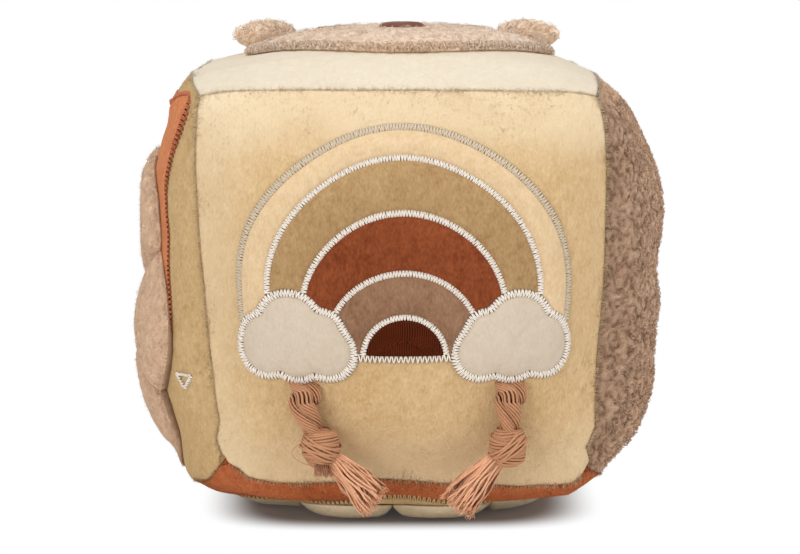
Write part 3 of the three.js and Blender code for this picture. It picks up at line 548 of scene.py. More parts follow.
class Finish:
    """A material: its nodes, and the shader that they feed."""

    def __init__(self, name, roughness=0.9, **constants):
        self.material = bpy.data.materials.new(MATERIAL_NAME.get(name, name.replace("_", " ")))
        self.material.use_nodes = True
        self.tree = self.material.node_tree
        self.shader = self.tree.nodes["Principled BSDF"]
        self.shader.inputs["Roughness"].default_value = roughness
        for name, value in constants.items():
            self.shader.inputs[name.replace("_", " ")].default_value = value

    def node(self, kind, settings=(), sockets=()):
        """A node of a kind: its settings first, then a value or a link for each socket, by
        identifier."""
        made = self.tree.nodes.new("ShaderNode" + kind)
        for name, value in dict(settings).items():
            setattr(made, name, value)
        for name, value in dict(sockets).items():
            self.plug(next(s for s in made.inputs if s.identifier == name), value)
        return made

    def plug(self, socket, value):
        if isinstance(value, Wire):
            value = value.socket
        if isinstance(value, bpy.types.NodeSocket):
            self.tree.links.new(value, socket)
        else:
            socket.default_value = value

    def number(self, node, output=0):
        return Wire(self, node.outputs[output])

    def place(self, stretch=(1, 1, 1), turn=(0, 0, 0)):
        """Object coordinates, turned and stretched."""
        at = self.node("TexCoord").outputs["Object"]
        sockets = {"Vector": at, "Scale": stretch, "Rotation": turn}
        return self.node("Mapping", {}, sockets).outputs[0]

    def along(self, axis):
        return self.number(self.node("SeparateXYZ", {}, {"Vector": self.place()}), axis)

    def grain(self, place, scale, detail=2.0, roughness=0.5, winding=0.0):
        sockets = {"Vector": place, "Scale": scale, "Detail": detail, "Roughness": roughness,
                   "Distortion": winding}
        return self.number(self.node("TexNoise", {}, sockets))

    def kept(self, name):
        """A number that each point of the mesh carries."""
        return self.number(self.node("Attribute", {"attribute_name": name}), "Fac")

    def between(self, low, high, amount):
        """A number from 0 to 1 as another runs from low to high."""
        settings = {"interpolation_type": "SMOOTHSTEP"}
        sockets = {"Value": amount, "From Min": low, "From Max": high}
        return self.number(self.node("MapRange", settings, sockets))

    def blend(self, first, second, share):
        first, second = (colour(c) if isinstance(c, str) else c for c in (first, second))
        sockets = {"Factor_Float": share, "A_Color": first, "B_Color": second}
        node = self.node("Mix", {"data_type": "RGBA", "blend_type": "MIX"}, sockets)
        return next(s for s in node.outputs if s.identifier == "Result_Color")

    def bump(self, height, depth, strength):
        node = self.node("Bump", {}, {"Height": height, "Distance": depth, "Strength": strength})
        self.plug(self.shader.inputs["Normal"], node.outputs[0])

    def paint(self, shade):
        self.plug(self.shader.inputs["Base Color"], shade)


def colour(code):
    """A colour from its six-figure code, as light."""
    parts = np.array([int(code[k:k + 2], 16) for k in (0, 2, 4)]) / 255
    light = np.where(parts <= 0.04045, parts / 12.92, ((parts + 0.055) / 1.055) ** 2.4)
    return (*light.tolist(), 1)


def plush_finish(name, deep, tip, nap=(0, 0.6, 0), sheen=0.2, grain=1.0, pale=None):
    """Short brushed pile: fine streaks along the nap, clumps, slow drifts of shade and a soft
    sheen. Pale is a painted highlight: a lighter colour at its top and bottom ends and its
    sides, standing for the sheen and the floor's bounce light on the turning edges."""
    f = Finish(name, 0.95, Sheen_Weight=sheen, Sheen_Roughness=0.5, Sheen_Tint=colour(tip),
               Specular_IOR_Level=0.1)
    streaks = f.grain(f.place((1, 1, 0.5), nap), 1700, 2, 0.6) - 0.5
    clumps = f.grain(f.place((1, 1, 0.6), nap), 520) - 0.5
    drift = f.grain(f.place(), 38) - 0.5
    share = 0.5 + grain * (1.3 * streaks + 0.7 * clumps) + 0.5 * drift + 0.4 * (f.kept("pile") - 0.5)
    shade = f.blend(deep, tip, share)
    if pale:
        # Painted highlight: the colour turns towards pale at the top, the bottom and both sides
        aside, height = f.along("X"), f.along("Z")
        edge = f.between(0.100, 0.121, height + 0.02 * drift)
        edge = edge + 0.5 * (1 - f.between(0.016, 0.040, height))
        edge = edge + 0.5 * (1 - f.between(-0.053, -0.034, aside))
        edge = edge + 0.2 * f.between(0.034, 0.053, aside)
        shade = f.blend(shade, pale, 0.75 * edge)
    f.paint(shade)
    f.bump(0.6 * streaks + 0.4 * clumps, 0.5 * mm, 0.7)
    return f.material


def terry_finish(name, deep, main, tip, curl, front=None):
    """Curly fleece: painted shade low between the locks, a painted highlight on their tops, and wisps
    of fine hair that wind about. Front is a colour painted towards its front, painted shade on the
    brown side and a painted highlight on the face: the colour, how much of it, and the depths where
    it is full and gone."""
    f = Finish(name, 0.95, Sheen_Weight=0.45, Sheen_Roughness=0.55, Sheen_Tint=colour(tip),
               Specular_IOR_Level=0.1)
    wisps = f.grain(f.place(), 620, 4, 0.65, 3.5) - 0.5
    fuzz = f.grain(f.place(), 1900, 2, 0.6) - 0.5
    patches = f.grain(f.place(), 140) - 0.5
    swirl = f.kept("swirl") * 31.4 + 4 * wisps
    strands = swirl.maths("SINE", swirl, 0.0)
    height = f.kept("pile") + curl * (0.07 * strands + 0.9 * wisps) + 0.35 * fuzz
    # Painted shade where the locks sit low, painted highlight where they stand high
    shade = f.blend(deep, main, f.between(0.0, 0.6, height + 0.2 * patches))
    shade = f.blend(shade, tip, f.between(0.45, 1.15, height + 0.3 * patches))
    # Painted shade or painted highlight blended in towards the front, as the table gives it
    if front:
        code, amount, full, gone = front
        shade = f.blend(shade, code, amount * (1 - f.between(full, gone, f.along("Y") + 0.02 * wisps)))
    f.paint(shade)
    f.bump(0.3 * strands + 2 * wisps + fuzz, 0.3 * mm, 0.8)
    return f.material


def thread_finish(name, deep, main, shine=0.45, scale=1800, gloss=0.35):
    """Twisted thread: fine ply lines and a slight lustre."""
    f = Finish(name, shine, Sheen_Weight=0.05, Specular_IOR_Level=gloss)
    plies = f.grain(f.place(), scale)
    drift = f.grain(f.place(), 240)
    f.paint(f.blend(deep, main, f.between(0.15, 0.8, 0.6 * f.kept("pile") + 0.3 * plies + 0.2 * drift)))
    f.bump(plies, 0.15 * mm, 0.6)
    return f.material


def fill_finish(name, deep, main):
    """Loose white fibre."""
    f = Finish(name, 0.95, Sheen_Weight=0.2)
    strands = f.grain(f.place((1, 0.4, 1)), 260, 5, 0.7)
    f.paint(f.blend(deep, main, f.between(0.35, 0.6, strands)))
    f.bump(strands, 1.5 * mm, 0.9)
    return f.material


def shell_finish(name, deep, main):
    """Moulded plastic: a faint pebble and flow marks."""
    f = Finish(name, 0.4, Specular_IOR_Level=0.5)
    flow = f.grain(f.place((1, 1, 0.3)), 60, 3)
    pebble = f.grain(f.place(), 2500, 1)
    f.paint(f.blend(deep, main, f.between(0.3, 0.6, flow)))
    f.plug(f.shader.inputs["Roughness"], 0.32 + 0.16 * pebble)
    f.bump(pebble, 0.05 * mm, 0.5)
    return f.material


FINISH_TABLES = {
    plush_finish: {
        # front_plush's last colour is its painted highlight at the ends and sides
        "front_plush": ("bd9866", "dabc90", (0, 0.5, 0), 0.35, 1.0, "e6d2b0"),
        "khaki_plush": ("b28f5f", "d0b386", (0.4, 0, 0)),
        "cream_plush": ("d8cab2", "e9ddca", (0, 0.5, 0), 0.2, 0.7),
        "terracotta_plush": ("ac5b34", "e09767"),
        # The base's plush is a darker copy of terracotta_plush: painted shade under the block
        "base_plush": ("944624", "c4764a"),
        "pale_plush": ("cdae83", "e4c9a4"),
        "khaki_band": ("96734b", "ba9b6f"),
        "terracotta_band": ("6a2f18", "96512f", (0, 0.6, 0), 0.15),
        "taupe_plush": ("78553f", "9f7b60"),
        "cloud_plush": ("c3b29d", "d4c5b2", (0, 0.3, 0), 0.15, 0.7),
        # The daisy's petals are a lighter copy of cream_plush: painted light that lifts the shade under
        # the block
        "petal_plush": ("e6d0a6", "f8ecd0", (0, 0.5, 0), 0.2, 0.7),
    },
    terry_finish: {
        # brown_terry's front is painted shade by its front seam; face_terry's is a painted highlight on
        # the face's front rim
        "brown_terry": ("7a5a44", "d6ae8e", "eecdb2", 0.8, ("7a5a44", 0.6, -0.056, -0.036)),
        "petal_terry": ("a98468", "d8b394", "e8c9ab", 0.4),
        "face_terry": ("dfbc9e", "fbdfc6", "ffeedc", 0.35, ("ffdcb8", 0.85, -0.038, -0.028)),
        "ear_terry": ("dcb694", "ffe2c6", "fff1dd", 0.5),
    },
    thread_finish: {
        "cream_thread": ("a0937f", "efe6da"),
        "outer_thread": ("988871", "d3c3ab"),
        "brown_thread": ("2b140b", "7a4128"),
        "patch_thread": ("6b2f17", "b8633c"),
        "disc_thread": ("94744a", "c9aa7a"),
        "dark_thread": ("120400", "56210a", 0.8, 1800, 0.05),
        "tassel_cotton": ("643820", "c08a64", 0.9, 1200),
        # The fringe's cotton is a lighter copy of tassel_cotton: painted highlight
        "fringe_cotton": ("6f3f24", "e8ad86", 0.9, 1200),
    },
    fill_finish: {"fibre_fill": ("d9d7d0", "f6f5f1")},
    shell_finish: {"rattle_shell": ("e2dbcb", "f3eee2"), "rattle_ball": ("c2bcae", "ddd8cc")},
}
FINISH = {name: make(name, *values) for make, table in FINISH_TABLES.items()
          for name, values in table.items()}


# Panels

def strewn(side, density, seed):
    """Places strewn evenly over a side."""
    rng = np.random.default_rng(seed)
    count = int(density * 4 * side.half_across * side.half_up / mm ** 2)
    return rng.uniform(-side.edge, side.edge, (2, count))


def along_seams(side, density, seed):
    """Places close along a side's four seams, and the way from each across its seam."""
    rng = np.random.default_rng(seed)
    count = int(density * 8 * side.half_across / mm)
    run = rng.uniform(-side.edge, side.edge, count)
    end = rng.choice([-1, 1], count)
    near = side.edge * end * (1 - rng.exponential(0.009, count))
    swap = (rng.random(count) < 0.5)[:, None]
    place = np.where(swap, together(near, run), together(run, near))
    way = end[:, None] * np.where(swap, side.across, side.up)
    return place[:, 0], place[:, 1], way


def coat(side, density, length, seed, bare):
    """Loose hairs over a side: combed down, turned by two noises, and none where it is bare."""
    u, v = strewn(side, density, seed)
    kept = ~bare(u * side.half_across, v * side.half_up)
    points, normals = pile_point(side, u[kept], v[kept]), panel_normal(side, u[kept], v[kept])
    turn = 0.8 * noise(points, 13 * mm, seed) + 0.5 * noise(points, 4 * mm, seed + 1)
    way = side.vector(0, np.sin(turn), -np.cos(turn))
    return fibres(points + 0.22 * mm * normals, normals, way, length, 0.11 * mm, seed + 2, (3, 13))


def under_picture(across, up):
    """Whether places of the front lie under or beside the rainbow and its clouds."""
    radius, height = ARCS[0] + [STITCH / 2 + 1.4 * mm, 0]
    arch = (np.hypot(across, up - height) < radius) & (up >= height)
    legs = (abs(across) < radius) & (up < height) & (up > BASE - 2.6 * mm)
    return arch | legs | in_cloud(across, up, 2.9 * mm)


def under_patch(across, up):
    """Whether places of the left side lie under or beside the patch or the small stitched mark."""
    mark = np.hypot(across - MARK["across"], up - MARK["up"]) < 3.6 * mm
    return (past_sun(across, up) < 2.4 * mm) | mark


COATS = {
    "front": (1.5, under_picture),
    "left": (1.4, under_patch),
    "back": (1.3, lambda across, up: abs(up) > 53.5 * mm),
    "bottom": (2.0, lambda across, up: np.hypot(across, up) < DISC_RADIUS + 2.4 * mm),
}


def crease(points):
    """Depth of the soft crease near the front's top: a bell across a slant, strongest at the
    seam."""
    x, z = points[..., 0] / mm - 15, points[..., 2] / mm - 119
    along, off = 0.89 * x - 0.45 * z, 0.45 * x + 0.89 * z
    return 1.1 * mm * np.exp(-(off / 1.9) ** 2) * smooth(-8, 0, along) * (1 - smooth(6, 20, along))


def plush_relief(points):
    """Brushed pile: clumps of two sizes."""
    rise = 0.5 * noise(points, 2.4 * mm, 1) + 0.5 * noise(points, 0.95 * mm, 2)
    return rise * 0.14 * mm, look(0.5 + 0.5 * rise)


def terry_relief(points):
    """Locks of a curly fleece: ridges along a noise's level lines, which close into rings, over
    lumps."""
    swirl = (points @ np.array([0.5, 0.3, 0.6])) / (3.4 * mm) + 0.9 * noise(points, 2.2 * mm, 3)
    ridge = 0.5 + 0.5 * np.cos(2 * np.pi * swirl)
    lump = lumps(points, 2.1 * mm, 6)
    rise = (0.36 * ridge + 0.5 * lump + 0.3 * noise(points, 0.9 * mm, 9)
            + 0.1 * noise(points, 6 * mm, 14))
    return 0.75 * mm * (rise - 0.5), look(np.clip(rise, 0, 1), swirl)


def velour_relief(points):
    """Short uncut pile: low lumps and faint locks."""
    raised, looks = terry_relief(points)
    return 0.45 * raised, look(0.3 + 0.55 * looks[..., 0], looks[..., 1])


def panel_relief(side, u, v, points):
    """A panel's pile, shallow wrinkles that run in from the seams and die out in a centimetre or
    two, and the front's crease, all level with the seam at the rim."""
    far = side.seam_distance(u, v)
    raised, looks = (terry_relief if side.dimpled else plush_relief)(points)
    raised = raised + (0.3 if side.dimpled else 0.25) * mm
    raised = raised + 0.4 * mm * np.exp(-far / (7 * mm)) * noise(points, 6.5 * mm, 5)
    if side is SIDES["front"]:
        raised = raised - crease(points)
    return np.clip(far / PILE_RAMP, 0, 1) * raised, looks


def cover(side, cells):
    """A panel: its outer face on a grid raised by the pile, and an inner face a cloth's thickness
    inside."""
    share = np.linspace(-1, 1, cells + 1)
    places = side.edge * (share + np.sin(np.pi / 2 * share)) / 2
    u, v = np.meshgrid(places, places, indexing="ij")
    points = pile_point(side, u, v)
    raised, pile = panel_relief(side, u, v, points)
    points = points + raised[..., None] * panel_normal(side, u, v)
    run = np.arange(cells)
    none, full, back = 0 * run, 0 * run + cells, cells - run
    rim = np.concatenate([run, full, back, none]), np.concatenate([none, run, full, back])
    inner = [panel_point(side, u[rim] * s, v[rim] * s) + CLOTH * inward(side, u[rim] * s, v[rim] * s)
             for s in (1, 0.94, 0.8, 0.6, 0.4, 0.2)]
    columns, start = 4 * cells, (cells + 1) ** 2
    body = np.concatenate([points.reshape(-1, 3), *inner, [inner[-1].mean(0)]])
    edge = rim[0] * (cells + 1) + rim[1]
    k, step = np.arange(columns), (np.arange(columns) + 1) % columns
    last = start + columns * (len(inner) - 1)
    outer, below = grid_faces(cells + 1, cells + 1), grid_faces(len(inner), columns, True) + start
    wall = np.concatenate([together(edge, edge[step], start + step),
                           together(edge, start + step, start + k)])
    fan = together(last + k, last + step, last + columns)
    faces = np.concatenate([turned_to(side, body, part, kind) for part, kind in
                            zip((outer, below, wall, fan), ("out", "in", "rim", "in"))])
    return body, faces, np.concatenate([pile.reshape(-1, 2), look(np.full(len(body) - start, 0.3))])


def turned_to(side, points, faces, kind):
    """Faces turned so that they look out of the side, into the stuffing, or away from the side's
    middle."""
    a, b, c = points[faces[:, 0]], points[faces[:, 1]], points[faces[:, 2]]
    normal = np.cross(b - a, c - a)
    if kind == "rim":
        middle = (a + b + c) / 3 - [0, 0, MIDDLE_HEIGHT]
        facing = (normal * (middle - (middle @ side.out)[:, None] * side.out)).sum()
    else:
        facing = (normal @ side.out).sum() * (1 if kind == "out" else -1)
    return faces if facing > 0 else faces[:, ::-1]


PANEL_SLOT = {
    "front": "front_plush", "back": "khaki_plush", "left": "khaki_plush", "right": "brown_terry",
    "top": "cream_plush", "bottom": "terracotta_plush",
}


def add_panels():
    for name, side in SIDES.items():
        slot = PANEL_SLOT[name]
        # The base takes the darker copy of its plush: painted shade
        finish = "base_plush" if name == "bottom" else slot
        surface = cover(side, 310 if side.dimpled else 150)
        piece(f"{name}_cover", surface, finish, f"{name}_panel", slot)
        if side.dimpled:
            u, v = strewn(side, 0.6, 11)
            points, normals = panel_point(side, u, v), panel_normal(side, u, v)
            loops = curls(points + 0.2 * mm * normals, normals, 0.75 * mm, 0.1 * mm, 12, 5)
            piece("right_loops", loops, finish)
        if name in COATS:
            density, bare = COATS[name]
            piece(f"{name}_coat", coat(side, density, 1.2 * mm, 31, bare), finish, None, slot)
        u, v, way = along_seams(side, 7, 13)
        points, normals = pile_point(side, u, v), panel_normal(side, u, v)
        length = (1.9 if name == "front" else 1.3) * mm
        hairs = fibres(points + 0.2 * mm * normals, normals, way, length, 0.14 * mm, 14)
        piece(f"{name}_seam_pile", hairs, finish, None, slot)


# Outlines of patches

def cloud_reach(angle):
    """Outline of a cloud from its middle: the far ends of its round lobes, joined by a high power
    mean."""
    aside, up, radius = (CLOUD["width"] * CLOUD_LOBES[:, k] for k in range(3))
    angle = np.asarray(angle, float)[..., None]
    along = aside * np.cos(angle) + up * np.sin(angle)
    off = aside * np.sin(angle) - up * np.cos(angle)
    rest = np.maximum(radius ** 2 - off ** 2, 0)
    reach = np.where(rest > 0, np.maximum(along + np.sqrt(rest), 0), 0) / CLOUD["width"]
    return CLOUD["width"] * (reach ** 16).sum(-1) ** (1 / 16)


def in_cloud(across, up, margin=0.0):
    """Whether places lie within the clouds' outline and a margin."""
    aside, rise = abs(across) - CLOUD["offset"], up - CLOUD["height"]
    return np.hypot(aside, rise) < cloud_reach(np.arctan2(rise, aside)) + margin


def sun_reach(angle):
    """Outline of the left patch: a round and five cosine waves counted from the top, one to five a
    turn. Bells draw out a tip at either upper corner, the front one further, draw in their feet and
    fill the dip between them."""
    turn = np.asarray(angle, float) - np.pi / 2
    away = abs(np.arctan2(np.sin(turn), np.cos(turn)))
    bells = sum(amount * np.exp(-((away - at) / wide) ** 2) for amount, at, wide in SUN_BELLS)
    amount, at, wide = SUN_FRONT_TIP
    front = amount * np.exp(-((turn - at) / wide) ** 2)
    waves = (SUN["waves"] * np.cos(np.arange(1, 6) * turn[..., None])).sum(-1)
    return SUN["radius"] + waves + (bells + front) * mm


def past_sun(across, up):
    """How far places of the left side lie beyond the patch."""
    return np.hypot(across, up) - sun_reach(np.arctan2(up, across))


# Patches and pads

class Pad:
    """A patch over a side: an outline by angle, highest in the middle, with its rim rolled down.
    Foot tells how far below its lay the rim reaches at a place."""

    def __init__(self, side, middle, reach, lay, full, rim, roll=0.9, foot=None):
        self.side, self.middle, self.reach, self.lay = SIDES[side], middle, reach, lay
        self.full, self.rim, self.roll, self.foot = full, rim, roll, foot

    def place(self, angle, share):
        """Height over the panel: rim + (full - rim)(1 - share^3), times a quarter circle past the
        roll."""
        far = self.reach(angle) * share
        past = np.clip((share - self.roll) / (1 - self.roll), 0, 1)
        swell = (self.rim + (self.full - self.rim) * (1 - share ** 3)) * np.sqrt(1 - 0.96 * past ** 2)
        return over_panel(self.side, self.middle[0] + far * np.cos(angle),
                          self.middle[1] + far * np.sin(angle), self.lay + swell)

    def surface(self, rings, turns, relief):
        """Rings of the upper face, closer at the rim, each raised by a relief, then the flat under
        face."""
        angle = round_turn(turns)
        found, pile = [], []
        for share in np.sin(np.pi / 2 * np.linspace(0, 1, rings + 1)[1:]) ** 0.9:
            points, normals = self.place(angle, np.full(turns, share))
            raised, height = relief(points)
            calm = np.clip((1 - share) * 14, 0.15, 1)
            found.append(points + (raised * calm)[..., None] * normals)
            pile.append(height)
        across, up = self.reach(angle) * on_circle(angle).T
        foot = self.foot(self.middle[0] + across, self.middle[1] + up) if self.foot else 0
        for s, down in ((1.0, foot), (0.6, 0), (0.2, 0)):
            found.append(over_panel(self.side, self.middle[0] + across * s, self.middle[1] + up * s,
                                    self.lay - down)[0])
        return rings_closed(found, pile + [look(np.full(turns, 0.3))] * 3)

    def strewn(self, density, seed, edge=0.97):
        """Places strewn evenly: as many as the outline's area asks for, by the square root of a
        share."""
        rng = np.random.default_rng(seed)
        turn = round_turn(360)
        square = self.reach(turn) ** 2
        count = int(density * np.pi * square.mean() / mm ** 2)
        angle = rng.choice(turn, count, p=square / square.sum())
        angle = angle + rng.uniform(-0.5, 0.5, count) * np.radians(1)
        return self.place(angle, edge * np.sqrt(rng.random(count)))

    def rim_places(self, rng, count):
        """Places strewn along the rim."""
        angle = rng.uniform(0, 2 * np.pi, count)
        return self.place(angle, rng.uniform(0.95, 1, count))


def satin_relief(points):
    """Rows of satin stitches: fine ridges across, set off from one another by a slow noise."""
    wave = points[..., 0] / (0.62 * mm) + 0.6 * noise(points, 4 * mm, 8)
    rise = abs(np.sin(np.pi * wave))
    # Painted shade: the grooves between rows count low in the pile
    return 0.22 * mm * rise, look(rise ** 1.3)


def velour_pad(name, pad, finish, node, slot, rings=40, turns=130):
    """A short-piled pad with hairs that stand off it, more of them at its rim."""
    points, normals = pad.strewn(0.5, 21)
    rng = np.random.default_rng(22)
    rim, out = pad.rim_places(rng, 700)
    points, normals = np.concatenate([points, rim]), np.concatenate([normals, out])
    hairs = fibres(points, normals, rng.normal(size=points.shape), 1.4 * mm, 0.13 * mm, 23)
    piece(name, joined(pad.surface(rings, turns, velour_relief), hairs), finish, node, slot)


# Lines of stitches

def spaced(places, step, closed):
    """Places and directions at even steps along a line of places."""
    if closed:
        places = np.concatenate([places, places[:1]])
    far = run_length(places)
    count = max(2, int(far[-1] / step))
    at = (np.arange(count) + 0.5) * far[-1] / count
    found, ahead, behind = (together(*(np.interp(at + shift, far, places[:, k]) for k in range(2)))
                            for shift in (0, 0.01 * mm, -0.01 * mm))
    return found, unit(ahead - behind)


def satin_line(side, places, closed=False, width=STITCH, step=0.4 * mm, slant=0.15 * mm,
               lay=LAY, height=1.1 * mm, thread=0.2 * mm, seed=1):
    """A zigzag of satin stitches: threads that arch from one edge of the line to the other."""
    rng = np.random.default_rng(seed)
    found, along = spaced(places, step, closed)
    count = len(found)
    aside = together(-along[:, 1], along[:, 0])
    share = np.linspace(-1, 1, 6)
    way = np.where(np.arange(count) % 2, 1.0, -1.0)[:, None, None]
    reach = width / 2 * rng.uniform(0.9, 1.1, (count, 1, 1))
    flat = (found[:, None] + share[:, None] * reach * aside[:, None]
            + share[:, None] * way * slant * along[:, None]
            + rng.normal(0, 0.05 * mm, (count, 1, 1)) * along[:, None])
    arch = height * np.sqrt(np.clip(1.02 - share ** 2, 0, 1)) * rng.uniform(0.92, 1.05, (count, 1))
    points, normals = over_panel(SIDES[side], flat[..., 0], flat[..., 1], lay - 0.25 * mm + arch)
    # Painted shade: each stitch counts lower in the pile towards its ends, where it sinks into the
    # cloth
    pile = 0.35 + 0.65 * np.sqrt(1 - 0.9 * share ** 2) + 0 * arch
    return tubes(points, thread, 6, normals, pile, 0.55)


def outline(middle, reach, turns=240, moved=0.0):
    """Places round an outline, moved outward square to it."""
    angle = round_turn(turns)
    places = np.array(middle) + reach(angle)[:, None] * on_circle(angle)
    along = unit(np.roll(places, -1, 0) - np.roll(places, 1, 0))
    return places + moved * together(along[:, 1], -along[:, 0])


def edge_line(side, reach, turns, **made):
    """The narrow stitched edge round a patch in the middle of a side."""
    return satin_line(side, outline((0, 0), reach, turns, 0.4 * mm), True, width=1.7 * mm,
                      step=0.66 * mm, slant=0.24 * mm, **made)


# Rainbow and clouds

def arc_place(radius, height, run):
    """Over the top round a quarter circle, then straight down to the cloud, as run goes from -1 to
    1."""
    quarter = radius * np.pi / 2
    length = abs(run) * (quarter + np.maximum(0, height - CLOUD["height"]))
    turn = np.minimum(length, quarter) / radius
    return together(np.sign(run) * radius * np.sin(turn),
                    height + radius * np.cos(turn) - np.maximum(0, length - quarter))


def run_end(line, margin, floor):
    """The furthest run at which a line is still clear of the clouds and of the base line."""
    runs = np.linspace(0, 1, 1500)
    places = line(runs)
    stopped = in_cloud(places[..., 0], places[..., 1], margin) | (places[..., 1] < floor)
    return runs[np.argmax(stopped) - 1] if stopped.any() else 1.0


def band_surface(outer, inner, cells=(260, 26)):
    """A band between two arcs: level across, rolled down under the stitches, brushed on top."""
    share = np.linspace(0, 1, cells[1] + 1)
    ends = np.array([run_end(lambda run: arc_place(*outer, run) * (1 - s) + arc_place(*inner, run) * s,
                             0.9 * mm, BASE + 0.9 * mm) for s in share])
    s, t = np.meshgrid(np.linspace(-1, 1, cells[0] + 1), share, indexing="ij")
    run = s * ends[None]
    flat = arc_place(*outer, run) * (1 - t)[..., None] + arc_place(*inner, run) * t[..., None]
    rim = np.minimum(1 - abs(2 * t - 1), (1 - abs(s)) * 10)
    roll = np.sqrt(np.clip(1 - (1 - np.clip(rim * 5, 0, 1)) ** 2, 0.03, 1))
    dome = np.clip(1 - (2 * t - 1) ** 2, 0, 1) * np.clip((1 - abs(s)) * 12, 0, 1)
    level = LAY + FABRIC * roll + 0.9 * mm * dome
    points, normals = over_panel(SIDES["front"], flat[..., 0], flat[..., 1], level)
    raised, pile = plush_relief(points)
    top = points + (raised * np.clip(rim * 4, 0, 1))[..., None] * normals
    below = over_panel(SIDES["front"], flat[..., 0], flat[..., 1], 0.2 * mm)[0]
    return slab(top, below, pile)


def slab(top, below, pile):
    """Two matching sheets of points joined round their edge by a wall. The sheets' triangles look
    out of it, and the wall's still look the other way."""
    rows, columns = top.shape[:2]
    size = rows * columns
    run, down = np.arange(columns - 1), np.arange(rows - 1)
    rim = np.concatenate([run, down * columns + columns - 1, size - 1 - run,
                          (rows - 1 - down) * columns])
    step = np.roll(rim, -1)
    upper = grid_faces(rows, columns)
    wall = np.concatenate([together(rim, rim + size, step + size), together(rim, step + size, step)])
    points = np.concatenate([top.reshape(-1, 3), below.reshape(-1, 3)])
    faces = outward(points, np.concatenate([upper, upper[:, ::-1] + size, wall[:, ::-1]]))
    return points, faces, np.concatenate([pile.reshape(-1, 2), look(np.full(size, 0.3))])


# Bands from the outermost in: the finish and the slot of each
BANDS = {
    "pale": ("pale_plush", "pale_plush"), "khaki": ("khaki_band", "khaki_plush"),
    "terracotta": ("terracotta_band", "terracotta_plush"), "taupe": ("taupe_plush", "taupe_plush"),
}


def add_rainbow():
    for (name, (finish, slot)), outer, inner in zip(BANDS.items(), ARCS, ARCS[1:]):
        band = band_surface(outer - [0.5 * mm, 0], inner + [0.5 * mm, 0])
        piece(f"band_{name}", band, finish, f"rainbow_band_{name}", slot)
    add_half_disc()
    for k, arc in enumerate(ARCS):
        end = run_end(lambda run: arc_place(*arc, run), 1.1 * mm, BASE + 0.9 * mm)
        line = satin_line("front", arc_place(*arc, np.linspace(-end, end, 400)), seed=k)
        piece(f"arc_stitches_{k + 1}", line, "cream_thread" if k else "outer_thread",
              f"rainbow_stitch_{k + 1}", "cream_thread")
    end = run_end(lambda run: together(run * CLOUD["offset"], BASE), 1.1 * mm, -1)
    places = np.array([[-1, 0], [1, 0]]) * end * CLOUD["offset"] + [0, BASE]
    line = satin_line("front", places, step=0.62 * mm, slant=0.3 * mm, seed=9)
    piece("base_stitches", line, "cream_thread", "rainbow_stitch_base")


def add_half_disc():
    """The dark middle of the rainbow, filled with upright satin stitches."""
    radius, base = ARCS[4, 0] - 0.6 * mm, 0.6 * mm
    lift = base + (radius - base) * 0.42

    def reach(angle):
        round_part = np.sqrt(radius ** 2 - (lift * np.cos(angle)) ** 2) - lift * np.sin(angle)
        down = np.sin(angle) < 0
        flat_part = (base - lift) / np.where(down, np.sin(angle), -1)
        return np.minimum(round_part, np.where(down, flat_part, 1))

    pad = Pad("front", (0, BASE + lift), reach, UNDER, FABRIC, FABRIC, 0.93)
    piece("half_disc", pad.surface(40, 160, satin_relief), "dark_thread", "rainbow_middle")


def add_clouds():
    for name, sign in (("left", -1), ("right", 1)):
        def reach(angle):
            return cloud_reach(np.pi - angle if sign < 0 else angle)
        middle = (sign * CLOUD["offset"], CLOUD["height"])
        pad = Pad("front", middle, lambda angle: reach(angle) - 0.5 * mm, UNDER, FABRIC + 1.5 * mm,
                  FABRIC, 0.88)
        piece(f"cloud_{name}_patch", pad.surface(44, 180, plush_relief), "cloud_plush", f"cloud_{name}")
        line = satin_line("front", outline(middle, reach), True, height=1.5 * mm, seed=20 + sign)
        piece(f"cloud_{name}_stitches", line, "cream_thread", f"cloud_stitch_{name}")


# Tassels

def at_tassel(place):
    return np.array([place[0] * mm, TASSEL_DEPTH, place[1] * mm])


def straight(root, tip):
    """Three places from each root to its tip."""
    share = np.linspace(0, 1, 3)[:, None]
    return root[:, None] * (1 - share) + tip[:, None] * share


